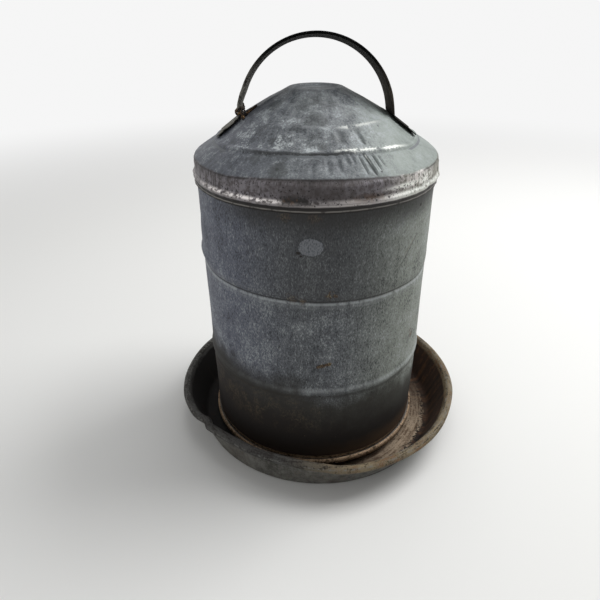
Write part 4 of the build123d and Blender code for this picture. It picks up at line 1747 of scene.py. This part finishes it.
@dataclass(frozen=True)
class Lamp:
    """A soft square lamp that points at a place."""

    name: str
    place: Point
    aim: Point
    size: float
    power: float

    def build(self) -> None:
        """Add the lamp, tipped from straight down by the aim's angle and turned towards it."""
        light = bpy.data.lights.new(self.name, "AREA")
        light.size = self.size
        light.energy = self.power
        made = bpy.data.objects.new(self.name, light)
        made.location = self.place
        x, y, z = np.subtract(self.aim, self.place)
        made.rotation_euler = (math.atan2(math.hypot(x, y), -z), 0.0, math.atan2(-x, y))
        bpy.context.scene.collection.objects.link(made)


@dataclass
class Studio:
    """Floor, light and camera. The light of the surroundings grows from front to ambient with the depth."""

    floor_half: float = 4.0
    floor_steps: int = 9
    sensor: float = 36.0
    lens: float = 31.2
    camera_place: Point = (-0.01694, -0.42579, 0.36120)
    camera_pitch: float = 29.69
    camera_roll: float = 0.476
    ambient: float = 0.55
    front: float = 0.14
    front_y: float = -1.0
    ambient_y: float = 0.6
    lamps: tuple[Lamp, ...] = (
        Lamp("key", (0.95, 0.40, 1.35), (0.0, 0.0, 0.15), 0.9, 20.0),
        Lamp("top", (0.1, 0.3, 1.5), (0.0, 0.0, 0.2), 0.8, 4.0),
        Lamp("fill", (-1.0, -1.1, 0.9), (0.0, 0.0, 0.15), 1.2, 3.0),
    )

    def floor(self) -> bpy.types.Object:
        """A wide flat sheet just under the drinker.

        Returns:
            The floor: a grid of side and depth at no height.
        """
        steps = np.linspace(-self.floor_half, self.floor_half, self.floor_steps)
        x, y = np.meshgrid(steps, steps)
        vertices = np.stack([x, y, np.zeros_like(x)], axis=2).reshape(-1, 3)
        index = np.arange(vertices.shape[0]).reshape(x.shape)
        corners = (index[:-1, :-1], index[:-1, 1:], index[1:, 1:], index[1:, :-1])
        mesh = bpy.data.meshes.new("floor")
        mesh.from_pydata(vertices.tolist(), [], np.stack(corners, axis=2).reshape(-1, 4).tolist())
        mesh.materials.append(PaleFloor().build())
        made = bpy.data.objects.new("floor", mesh)
        bpy.context.scene.collection.objects.link(made)
        return made

    def world(self) -> None:
        """Soft grey light all round, with a white background for what looks at it."""
        world = bpy.data.worlds.new("studio")
        bpy.context.scene.world = world
        look = Look("studio", world)
        rays = ("Is Camera Ray", "Is Glossy Ray", "Is Transmission Ray")
        first, second, third = (look.node("ShaderNodeLightPath", {}, {}, ray) for ray in rays)
        seen = first.most(second).most(third)
        depth = {"From Min": self.front_y, "From Max": self.ambient_y, "To Min": self.front}
        light = look.node("ShaderNodeMapRange", {}, depth | {"To Max": self.ambient, "Value": look.y})
        inputs = {"To Min": light, "To Max": WHITE_STRENGTH, "Value": seen}
        strength = look.node("ShaderNodeMapRange", {}, inputs)
        back = look.node("ShaderNodeBackground", {}, {"Color": WHITE, "Strength": strength})
        look.closed(back, "ShaderNodeOutputWorld")

    def camera(self) -> None:
        """Stand the camera where the photograph was taken, pitched down and rolled a little."""
        data = bpy.data.cameras.new("camera")
        data.sensor_width = self.sensor
        data.lens = self.lens
        made = bpy.data.objects.new("camera", data)
        made.location = self.camera_place
        halves = np.radians([90.0 - self.camera_pitch, -self.camera_roll]) / 2
        (tilt_cos, roll_cos), (tilt_sin, roll_sin) = np.cos(halves), np.sin(halves)
        turned = (tilt_cos * roll_cos, tilt_sin * roll_cos, -tilt_sin * roll_sin, tilt_cos * roll_sin)
        made.rotation_mode = "QUATERNION"
        made.rotation_quaternion = turned
        bpy.context.scene.collection.objects.link(made)
        bpy.context.scene.camera = made

    def build(self) -> None:
        """Set up the floor, the world, the lamps and the camera."""
        bpy.context.scene.view_settings.view_transform = "Standard"
        self.floor()
        self.world()
        for lamp in self.lamps:
            lamp.build()
        self.camera()
        log.info("the studio is set up")


def main() -> None:
    """Build the studio, the pieces and their finishes round the axis of the jacket wall's box."""
    logging.basicConfig(level=logging.INFO, format="%(name)s: %(message)s")
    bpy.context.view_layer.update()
    low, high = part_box("jacket_wall")
    axis_x = (low[0] + high[0]) / 2
    Studio().build()
    wall = JacketWall(axis_x)
    cone = ConeTop(axis_x)
    pan = DrinkingPan()
    handle = StrapHandle(axis_x)
    dress(wall.build(), WallZinc(wall), "jacket_zinc", "jacket_wall")
    dress(cone.build(), ConeZinc(cone), "jacket_zinc", "jacket_cone")
    dress(pan.build(), PanZinc(pan), "pan_zinc", "pan")
    dress(pan.wire(), DrawnWire("rim_wire"), "rim_wire", "pan_rim_wire")
    dress(handle.build(), DarkStrap(handle), "handle_steel", "handle_strap")
    dress(FootRivets(handle).build(), DarkStrap(handle, "rivet_zinc"), "rivet_steel", "handle_rivets")
    dress(TieWire(handle).build(), RustyWire(), "tie_wire", "handle_tie_wire")
    HiddenWorks().dress()


if __name__ == "__main__":
    main()
